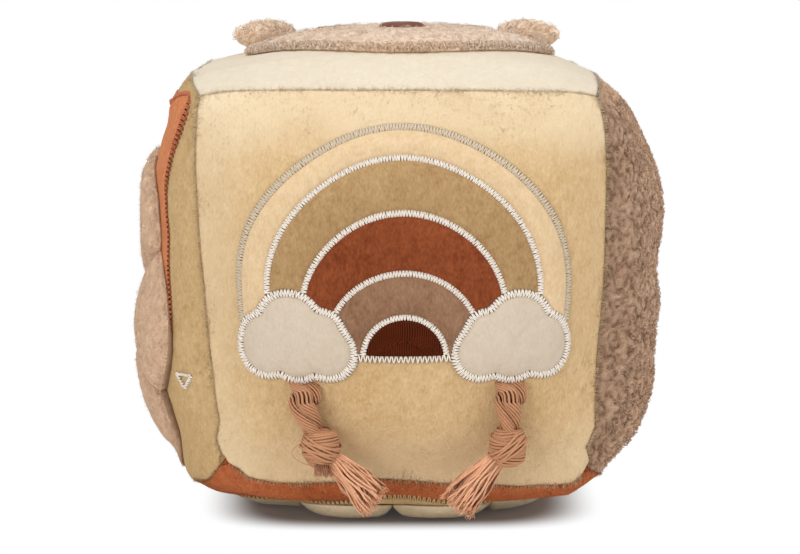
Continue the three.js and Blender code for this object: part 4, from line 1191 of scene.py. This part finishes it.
def rope_surface(tassel):
    """Three plies of yarn twisted round the rope's curve: each yarn circles its ply, and each ply
    the rope. The rope starts flat under the cloud, and thins towards the knot."""
    top, bend, knot = (at_tassel(tassel[k]) for k in ("top", "bend", "knot"))
    start = top + [0.4 * mm, 4.2 * mm, 4.4 * mm]
    steps = np.linspace(0, 1, 34)[:, None]
    pull = top * [1, 1, 0] + bend * [0, 0, 1] + [0, 0, (top[2] - bend[2]) / 2]
    lower = ((1 - steps) ** 2 * top + 2 * steps * (1 - steps) * pull
             + steps ** 2 * (knot + 0.3 * (bend - knot)))
    upper = start + (top - start) * np.linspace(0, 1, 12)[:-1, None] ** 0.8
    middle = np.concatenate([upper, lower])
    far = run_length(middle)
    along = unit(np.gradient(middle, axis=0))
    aside = unit(np.cross(along, [0, -1, 0]))
    face = np.cross(aside, along)
    slim = 1 - 0.2 * smooth(0.5, 1, far / far[-1])
    wide = (1.12 - 0.3 * smooth(0.3, 0.62, far / far[-1])) * slim
    thick = (0.22 + 0.78 * smooth(0, 6.5 * mm, far)) * slim
    plies, yarns, yarn, twist = 3, 11, 0.37 * mm, 24 * mm
    ply_radius, ply_off = 1.82 * mm, 1.86 * mm
    turning = far / twist * 2 * np.pi
    found, ways = [], []
    for ply, k in np.ndindex(plies, yarns):
        ply_turn = turning + 2 * np.pi * ply / plies
        yarn_turn = 1.5 * turning + 2 * np.pi * k / yarns + ply
        x, y = (ply_off * on_circle(ply_turn) + ply_radius * on_circle(yarn_turn)).T
        found.append(middle + (wide * x)[:, None] * aside + (thick * y)[:, None] * face)
        ways.append(np.cos(yarn_turn)[:, None] * aside + np.sin(yarn_turn)[:, None] * face)
    return tubes(np.stack(found), yarn * slim[None], 8, np.stack(ways), 0.95, 0.85)


KNOT_CORE = ((1, 5.0), (3.2, 4.6), (4.5, 2.6), (4.75, 0), (4.5, -2.6), (3.2, -4.6), (1, -5.0))


def knot_surface(tassel, number):
    """Yarn wound round the rope: a helix over a barrel whose turns tip a little one way and the
    other, a band across it, and, on the first, a loose loop and a tuft of cut ends."""
    knot = at_tassel(tassel["knot"])
    turns, each, yarn, deep = 21, 24, 0.36 * mm, 0.94
    run = np.linspace(0, 1, turns * each)
    turn, rise = 2 * np.pi * turns * run, 1 - 2 * run
    barrel = (1 - abs(rise) ** 3.2 * 0.45) * (KNOT / 2 - 0.5 * mm)
    tip = 1.1 * mm * np.sin(turn + 2.6 * np.sin(5 * run + number)) * np.sin(9 * run) * (1 - rise ** 4)
    axis = 4.9 * mm * rise + tip
    path = knot + together(barrel * np.cos(turn), deep * barrel * np.sin(turn), axis)
    out = unit(path - knot - together(0, 0, axis))
    angle = round_turn(24)
    rings = [knot + mm * together(r * np.cos(angle), deep * r * np.sin(angle), z) for r, z in KNOT_CORE]
    over = np.linspace(0, 1, 7 * each)
    wrap = 2 * np.pi * 7 * over
    tilt = np.radians(-20 if number == 1 else 42)
    radius = 5.15 * mm
    across, rise = radius * np.cos(wrap), 1.9 * mm * (1 - 2 * over) + 0.3 * mm * np.sin(2.3 * wrap)
    band = knot + together(across * np.cos(tilt) - rise * np.sin(tilt), 0.98 * radius * np.sin(wrap),
                           across * np.sin(tilt) + rise * np.cos(tilt))
    parts = [tubes(path[None], yarn, 8, out[None], 0.95, 0.8),
             rings_closed(rings, [look(np.full(24, 0.5))] * len(rings)),
             tubes(band[None], yarn, 8, unit(band - knot)[None], 0.95, 0.8)]
    if number == 1:
        front = np.array([0, -1.0, 0])
        bow = np.linspace(0, 1, 18)
        loop = knot + mm * together(1.4 * bow - 4.6 - 3.6 * np.sin(np.pi * bow) ** 0.8, -1.5 - 2 * bow,
                                    1.5 - 5.6 * bow)
        rng, count = np.random.default_rng(3), 90
        root = knot + mm * together(rng.uniform(-1.8, 2.4, count), rng.uniform(-4.2, -2, count), -4)
        tail = root + mm * together(rng.uniform(-0.6, 1.4, count), rng.uniform(-1, 0.4, count),
                                    rng.uniform(-3.6, -1.6, count))
        parts += [tubes(loop[None], 0.14 * mm, 5, front, 0.8),
                  tubes(straight(root, tail), 0.12 * mm, 3, front, 0.6)]
    return joined(*parts)


def fringe_surface(tassel, seed):
    """Cut yarn ends below the knot: strands that fan out from its neck, wave a little and end
    unevenly."""
    rng = np.random.default_rng(seed)
    knot = at_tassel(tassel["knot"])
    lean = np.radians(tassel["lean"])
    down = np.array([np.sin(lean), 0, -np.cos(lean)])
    aside = np.array([np.cos(lean), 0, np.sin(lean)])
    face = np.array([0, -1.0, 0])
    count, golden_angle = 84, 2.399963
    angle = golden_angle * np.arange(count)
    radius = np.sqrt((np.arange(count) + 0.5) / count)
    run = np.linspace(0, 1, 17)[None]
    length = FRINGE * rng.uniform(0.8, 1.04, (count, 1))
    spread = (2.3 + 2.7 * run ** 0.9) * mm
    wave = mm * run ** 0.7 * sum(
        size * np.sin(run * rng.uniform(*often, (count, 1)) + rng.uniform(0, 6, (count, 1)))
        for size, often in ((0.6, (3, 8)), (0.2, (9, 16))))
    x = radius[:, None] * np.cos(angle)[:, None] * spread + wave
    y = radius[:, None] * np.sin(angle)[:, None] * spread * 0.92 - wave
    far = KNOT / 2 - 1.1 * mm + (length + 1.4 * mm) * run
    off = x[..., None] * aside + y[..., None] * face
    paths = knot + far[..., None] * down + off
    taper = 0.37 * mm * (1 - 0.25 * run ** 6) * rng.uniform(0.85, 1.1, (count, 1))
    strands = tubes(paths, taper, 7, unit(off + 0.5 * mm * face), rng.uniform(0.7, 1, (count, 1)), 0.75)
    ends = 330
    root = paths[rng.integers(0, count, ends), -1]
    tip = root + unit(down + 0.35 * rng.normal(size=(ends, 3))) * rng.uniform(0.8, 2.3, (ends, 1)) * mm
    return joined(strands, tubes(straight(root, tip) - 0.4 * mm * down, 0.11 * mm, 3, face, 0.9))


def add_tassels():
    for number, (name, tassel) in enumerate(TASSELS.items(), 1):
        top, end = at_tassel(tassel["top"]), f"tassel_{name}_end"
        rope = piece(f"rope_{name}", rope_surface(tassel), "tassel_cotton",
                     f"tassel_rope_{name}", body=None)
        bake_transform(rope)
        piece(f"knot_{name}", knot_surface(tassel, number), "tassel_cotton",
              f"tassel_knot_{name}", body=end)
        # The fringe takes the lighter copy of the tassel's cotton: painted highlight
        piece(f"fringe_{name}", fringe_surface(tassel, 30 + number), "fringe_cotton",
              f"tassel_skirt_{name}", "tassel_cotton", end)


# Bear face and ears

face_reach = oval_reach(FACE["width"], FACE["depth"])


def face_height(across, up):
    """How far the face's pad stands over the top panel."""
    share = np.hypot(across, up) / face_reach(np.arctan2(up, across))
    return float(LAY + FACE["rim"] + (FACE["pad"] - FACE["rim"]) * (1 - share ** 3))


def nose_hollow(points):
    """Depth of the hollow round the nose: flat in an oval a little wider than it, gone in a
    millimetre."""
    across = points[..., 0] / (NOSE["width"] / 2)
    up = (points[..., 1] - NOSE["back"]) / (NOSE["depth"] / 2)
    return 0.5 * mm * (1 - smooth(0.95, 1.25, np.hypot(across, up)))


def face_relief(points):
    raised, looks = terry_relief(points)
    return 0.45 * raised - nose_hollow(points), looks


def add_bear_face():
    pad = Pad("top", (0, 0), lambda angle: face_reach(angle) - 1.2 * mm, LAY, FACE["pad"],
              FACE["rim"], 0.74)
    points, normals = pad.strewn(0.2, 41, 0.99)
    sunk = nose_hollow(points)
    clear = sunk < 0.3 * mm
    rim, out = pad.rim_places(np.random.default_rng(42), 2300)
    loops = curls((points - sunk[:, None] * normals)[clear], normals[clear], 0.6 * mm, 0.07 * mm, 43, 5)
    fringe = curls(rim + 0.1 * mm * out, out, 1.0 * mm, 0.09 * mm, 44)
    face = joined(pad.surface(90, 340, face_relief), loops, fringe)
    piece("face_pad", face, "face_terry", "bear_face")
    nose = Pad("top", (0, NOSE["back"]), oval_reach(NOSE["width"], NOSE["depth"]),
               face_height(0, NOSE["back"]) - 0.3 * mm, 1.5 * mm, 0.9 * mm, 0.72)
    piece("nose_embroidery", nose.surface(26, 110, satin_relief), "brown_thread", "bear_nose")
    for name, sign in (("left", -1), ("right", 1)):
        middle = np.array([sign * EYES["spacing"] / 2, EYES["back"]])
        places = middle + EYES["radius"] * on_circle(np.pi * np.linspace(1.15, 1.85, 60))
        lay = face_height(middle[0], middle[1] - EYES["radius"]) - 0.3 * mm
        eye = satin_line("top", places, width=1.4 * mm, step=0.42 * mm, lay=lay, height=0.6 * mm,
                         thread=0.22 * mm, seed=50)
        piece(f"eye_{name}_stitches", eye, "brown_thread", f"bear_eye_{name}")


def ear_place(sign, angle, share, bulge):
    """Two bulged faces that meet at a rim: half an oval above the foot, and a low curve below it.
    It swells a little past its solid."""
    hinge = EAR["thick"] / 2
    rise = np.where(np.sin(angle) > 0, EAR["height"] - hinge, 1.25 * hinge)
    across, up = 1.13 * np.cos(angle) * EAR["width"] / 2 * share, np.sin(angle) * rise * share
    thick = bulge * hinge * np.sqrt(np.clip(1 - share ** 2, 0, 1))
    lean, turn = np.radians(-EAR["lean"]), np.radians(-sign * EAR["turn"])
    y, z = thick * np.cos(lean) - up * np.sin(lean), thick * np.sin(lean) + up * np.cos(lean)
    foot = over_panel(SIDES["top"], sign * EAR["foot"][0], EAR["foot"][1], EAR["lift"])[0]
    foot = foot + [-1.2 * mm if sign > 0 else 0, 0, hinge - 0.8 * mm]
    turned = together(across * np.cos(turn) - y * np.sin(turn),
                      across * np.sin(turn) + y * np.cos(turn), z)
    return turned + foot


def add_ears():
    angle = round_turn(90)
    shares = np.sin(np.pi / 2 * np.linspace(0, 1, 19)[1:])
    for name, sign in (("left", -1), ("right", 1)):
        rings = [ear_place(sign, angle, s + 0 * angle, 1) for s in shares]
        rings += [ear_place(sign, angle, s + 0 * angle, -1) for s in shares[-2::-1]]
        middle = ear_place(sign, np.zeros(1), np.zeros(1), 0)[0]
        raised, pile = zip(*(terry_relief(r) for r in rings))
        rings = [r + (0.6 * h)[:, None] * unit(r - middle) for r, h in zip(rings, raised)]
        rng = np.random.default_rng(60 + sign)
        spot = rng.uniform(0, 2 * np.pi, 380), np.sqrt(rng.random(380)), rng.choice([-1, 1], 380)
        points = ear_place(sign, *spot)
        points = points[points[:, 2] > middle[2] - 1.5 * mm]
        ways = unit(points - middle)
        loops = curls(points + 0.1 * mm * ways, ways, 0.5 * mm, 0.08 * mm, 61, 5)
        piece(f"ear_{name}_terry", joined(rings_closed(rings, pile), loops), "ear_terry", f"ear_{name}",
              body=f"{name}_ear")


# Flower of the left side and daisy under the block

def petal_reach(flower, turn, angle):
    """A petal's outline from its middle: an oval, kept within its own sector and off the flower's
    centre."""
    facing = np.arctan2(np.sin(angle - turn), np.cos(angle - turn))
    middle = flower["radius"] * flower["middle"]
    half = np.pi / flower["count"]
    wide = middle * np.tan(half) * flower["full"]
    oval = oval_reach(2 * (flower["radius"] - middle), 2 * wide)(facing)
    past = abs(facing) - half
    beside = middle * np.sin(half) - GAP / 2
    edge = np.where(past > 0, beside / np.sin(np.where(past > 0, past, 1)), 1)
    hits = (flower["centre"] + GAP) ** 2 - (middle * np.sin(facing)) ** 2
    centre = np.where((np.cos(facing) < 0) & (hits > 0),
                      -middle * np.cos(facing) - np.sqrt(np.clip(hits, 0, None)), 1)
    return np.minimum(oval, np.minimum(edge, centre))


def past_patch(across, up):
    """How far a petal's rim reaches down beyond the patch, to lie on the panel."""
    return 1.3 * mm * smooth(0.5 * mm, 2.5 * mm, past_sun(across, up))


def petals(side, flower, foot=None):
    """Each petal's pad."""
    for k in range(flower["count"]):
        turn = flower["start"] + 2 * np.pi * k / flower["count"]
        middle = np.array(flower["at"]) + flower["radius"] * flower["middle"] * on_circle(turn)
        yield k + 1, Pad(side, middle, lambda angle, turn=turn: petal_reach(flower, turn, angle),
                         flower["lay"], flower["pad"], flower["rim"], 0.62, foot)


def cloth(side, reach):
    """A flat patch in the middle of a side."""
    return Pad(side, (0, 0), reach, UNDER, FABRIC, FABRIC, 0.97)


def add_left_picture():
    sun = cloth("left", sun_reach).surface(60, 240, plush_relief)
    piece("sun_cloth", sun, "terracotta_plush", "sun_patch")
    edge = edge_line("left", sun_reach, 480, height=1.3 * mm, thread=0.24 * mm, seed=71)
    piece("sun_edge_stitches", edge, "patch_thread", "sun_stitch", "brown_thread")
    for k, pad in petals("left", FLOWER, past_patch):
        velour_pad(f"left_petal_{k}", pad, "petal_terry", f"flower_petal_{k}", "brown_terry")
    centre = Pad("left", FLOWER["at"], round_reach(FLOWER["centre"]), FLOWER["lay"], 4.8 * mm,
                 FLOWER["rim"], 0.5)
    velour_pad("left_flower_middle", centre, "ear_terry", "flower_centre", "ear_terry", 24, 90)
    tips = on_circle(np.radians([270, 30, 150, 270]))
    corners = [MARK["across"], MARK["up"]] + MARK["width"] / 2 * tips
    line = np.concatenate([np.linspace(a, b, 20)[:-1] for a, b in zip(corners, corners[1:])])
    mark = satin_line("left", line, True, width=0.7 * mm, step=0.36 * mm, height=0.8 * mm,
                      thread=0.16 * mm, seed=72)
    piece("small_triangle_stitches", mark, "cream_thread", "stitched_triangle")


def add_tuft_bar():
    """Threads side by side straight across the bottom of the dimple, pulled in at both ends."""
    right = SIDES["right"]
    ends = over_panel(right, TUFT["across"] + np.array([-1, 1]) * TUFT_BAR / 2, TUFT["up"])[0]
    out = unit(np.cross(ends[1] - ends[0], right.up))
    count, run = 7, np.linspace(-1, 1, 9)
    row = np.linspace(-1, 1, count)[:, None]
    along = ends[0] + (ends[1] - ends[0]) * (run[:, None] + 1) / 2
    rise = (1.1 + 0.9 * np.sqrt(np.clip(1.05 - run ** 2, 0, 1)) * (1 - 0.25 * row ** 2)) * mm
    apart = row * 1.15 * mm * (1 - 0.3 * run ** 2)
    paths = along[None] + rise[..., None] * out + apart[..., None] * right.up
    piece("tuft_threads", tubes(paths, 0.26 * mm, 6, out, 0.6), "brown_thread", "tuft_stitch")


def pressed(pad, rings, turns):
    """A pad's surface with what would reach below the floor pressed flat on it."""
    points, faces, looks = pad.surface(rings, turns, plush_relief)
    return above_floor(points), faces, looks


def add_daisy():
    disc = round_reach(DISC_RADIUS)
    flat = cloth("bottom", disc).surface(50, 220, plush_relief)
    piece("disc_cloth", flat, "khaki_plush", "daisy_disc")
    edge = edge_line("bottom", disc, 360, height=1.0 * mm, thread=0.19 * mm, seed=81)
    piece("disc_edge_stitches", edge, "disc_thread", "daisy_disc_stitch", "brown_thread")
    for k, pad in petals("bottom", DAISY):
        # The petals take the lighter copy of the cream plush: painted light
        piece(f"daisy_petal_{k}_plush", pressed(pad, 30, 100), "petal_plush", f"daisy_petal_{k}",
              "cream_plush")
    centre = Pad("bottom", (0, 0), round_reach(DAISY["centre"]), DAISY["lay"], DAISY["pad"],
                 DAISY["rim"], 0.6)
    piece("daisy_middle_plush", pressed(centre, 26, 90), "khaki_plush", "daisy_centre")


# Inside: the filling and the rattle

def add_filling():
    """Each half of the filling: its solid's own form, cut finer and loosened inward like teased
    fibre."""
    for part in ("upper", "lower"):
        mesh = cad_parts[f"filling_{part}"].data.copy()
        points = np.empty(len(mesh.vertices) * 3, np.float32)
        mesh.vertices.foreach_get("co", points)
        corners = np.empty(len(mesh.loops), np.int32)
        mesh.loops.foreach_get("vertex_index", corners)
        places, index = np.unique(points.reshape(-1, 3).round(6), axis=0, return_inverse=True)
        faces = index.ravel()[corners].reshape(-1, 3)
        for _ in range(2):
            places, faces = split_in_four(places, faces)
        inset = 0.5 * mm * (1 + noise(places, 5 * mm, 4))
        places = places - inset[:, None] * vertex_normals(places, faces)
        surface = (places, faces, look(np.full(len(places), 0.5)))
        piece(f"fibre_{part}", surface, "fibre_fill", f"filling_{part}")
    for node in ("rattle_cup_lower", "rattle_cup_upper", "rattle_ball"):
        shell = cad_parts[node]
        shell.data.materials.clear()
        shell.data.materials.append(FINISH["rattle_ball" if node == "rattle_ball" else "rattle_shell"])


def split_in_four(points, faces):
    """Each triangle cut in four at the middles of its edges, which neighbours share."""
    edges = np.sort(np.concatenate([faces[:, [0, 1]], faces[:, [1, 2]], faces[:, [2, 0]]]), axis=1)
    single, index = np.unique(edges, axis=0, return_inverse=True)
    middles = (points[single[:, 0]] + points[single[:, 1]]) / 2
    a, b, c = faces.T
    ab, bc, ca = np.split(index.ravel() + len(points), 3)
    cut = [(a, ab, ca), (ab, b, bc), (ca, bc, c), (ab, bc, ca)]
    return np.concatenate([points, middles]), np.concatenate([together(*t) for t in cut])


def vertex_normals(points, faces):
    """Each point's normal: the sum of its faces' cross products."""
    a, b, c = points[faces.T]
    total = np.zeros_like(points)
    for k in range(3):
        np.add.at(total, faces[:, k], np.cross(b - a, c - a))
    return unit(total + 1e-12)


# Closing seam at the back of the base

def add_closing_seam():
    """Ladder stitches that close the cover, low on the back."""
    places = together(np.linspace(-20, 20, 60) * mm, 1.4 * mm - SIDES["back"].half_up)
    seam = satin_line("back", places, width=1.8 * mm, step=3.2 * mm, slant=0.5 * mm, lay=0.0,
                      height=0.9 * mm, thread=0.22 * mm, seed=91)
    piece("closing_stitches", seam, "cream_thread")


# Floor and light

def add_floor():
    """A white floor that takes the block's light. Under it a soft oval shows the contact shade, partly
    real and partly painted: the floor's colour there is a darker brown, a painted shadow. Past that the
    camera sees plain white."""
    floor = bpy.data.meshes.new("floor")
    corners = [(-6, -6, 0), (6, -6, 0), (6, 6, 0), (-6, 6, 0)]
    floor.from_pydata(corners, [], [(0, 1, 2, 3)])
    made = bpy.data.objects.new("floor", floor)
    bpy.context.scene.collection.objects.link(made)
    f = Finish("floor", 0.9, Specular_IOR_Level=0.1)
    x, y = f.along("X") * 20.5, f.along("Y") * 25
    away = ((x * x) ** 2 + (y * y) ** 2) ** 0.25
    clear = f.blend("f4f4f4", "f8f8f8", f.grain(f.place(), 400))
    # Painted shadow: the floor's colour is a darker brown in the oval under the block
    f.paint(f.blend("a8968c", clear, f.between(0.9, 1.3, away)))
    ray = f.number(f.node("LightPath"), "Is Camera Ray")
    seen = ray * (0.03 + 0.97 * f.between(0.82, 1.18, away))
    white = f.node("Emission", {}, {"Color": (1, 1, 1, 1), "Strength": 1.0})
    sockets = {"Fac": seen, "Shader": f.shader.outputs[0], "Shader_001": white.outputs[0]}
    mixed = f.node("MixShader", {}, sockets)
    f.tree.links.new(mixed.outputs[0], f.tree.nodes["Material Output"].inputs["Surface"])
    floor.materials.append(f.material)


# Lamps: place, size and power
LAMPS = {
    "overhead": ((0.05, -0.35, 1.5), 1.2, 12.5),
    "front_left": ((-0.9, -1.45, 0.45), 0.9, 8.6),
    "front_right": ((1.2, -1.1, 0.35), 0.9, 4.3),
}


def add_lamps():
    """Square soft lamps that face the block."""
    for name, (place, size, power) in LAMPS.items():
        light = bpy.data.lights.new(name, "AREA")
        light.shape, light.size, light.energy = "SQUARE", size, power
        lamp = bpy.data.objects.new(name, light)
        lamp.location = place
        lamp.rotation_euler = (Vector((0, 0, 0.07)) - Vector(place)).to_track_quat("-Z", "Y").to_euler()
        bpy.context.scene.collection.objects.link(lamp)


def add_sky():
    """White where the camera sees it, straight or by reflection, and half as bright as a light."""
    world = bpy.data.worlds.new("studio")
    bpy.context.scene.world = world
    world.use_nodes = True
    tree = world.node_tree
    path = tree.nodes.new("ShaderNodeLightPath")
    seen = path.outputs["Is Camera Ray"]
    for ray in ("Is Glossy Ray", "Is Transmission Ray"):
        either = tree.nodes.new("ShaderNodeMath")
        either.operation = "MAXIMUM"
        tree.links.new(seen, either.inputs[0])
        tree.links.new(path.outputs[ray], either.inputs[1])
        seen = either.outputs[0]
    strength = tree.nodes.new("ShaderNodeMapRange")
    tree.links.new(seen, strength.inputs["Value"])
    strength.inputs["To Min"].default_value = 0.5
    strength.inputs["To Max"].default_value = 1.0
    sky = tree.nodes["Background"]
    sky.inputs["Color"].default_value = (1, 1, 1, 1)
    tree.links.new(strength.outputs[0], sky.inputs["Strength"])
    bpy.context.scene.view_settings.view_transform = "Standard"


add_panels()
add_filling()
add_rainbow()
add_clouds()
add_tassels()
add_bear_face()
add_ears()
add_left_picture()
add_tuft_bar()
add_daisy()
add_closing_seam()
add_floor()
add_lamps()
add_sky()
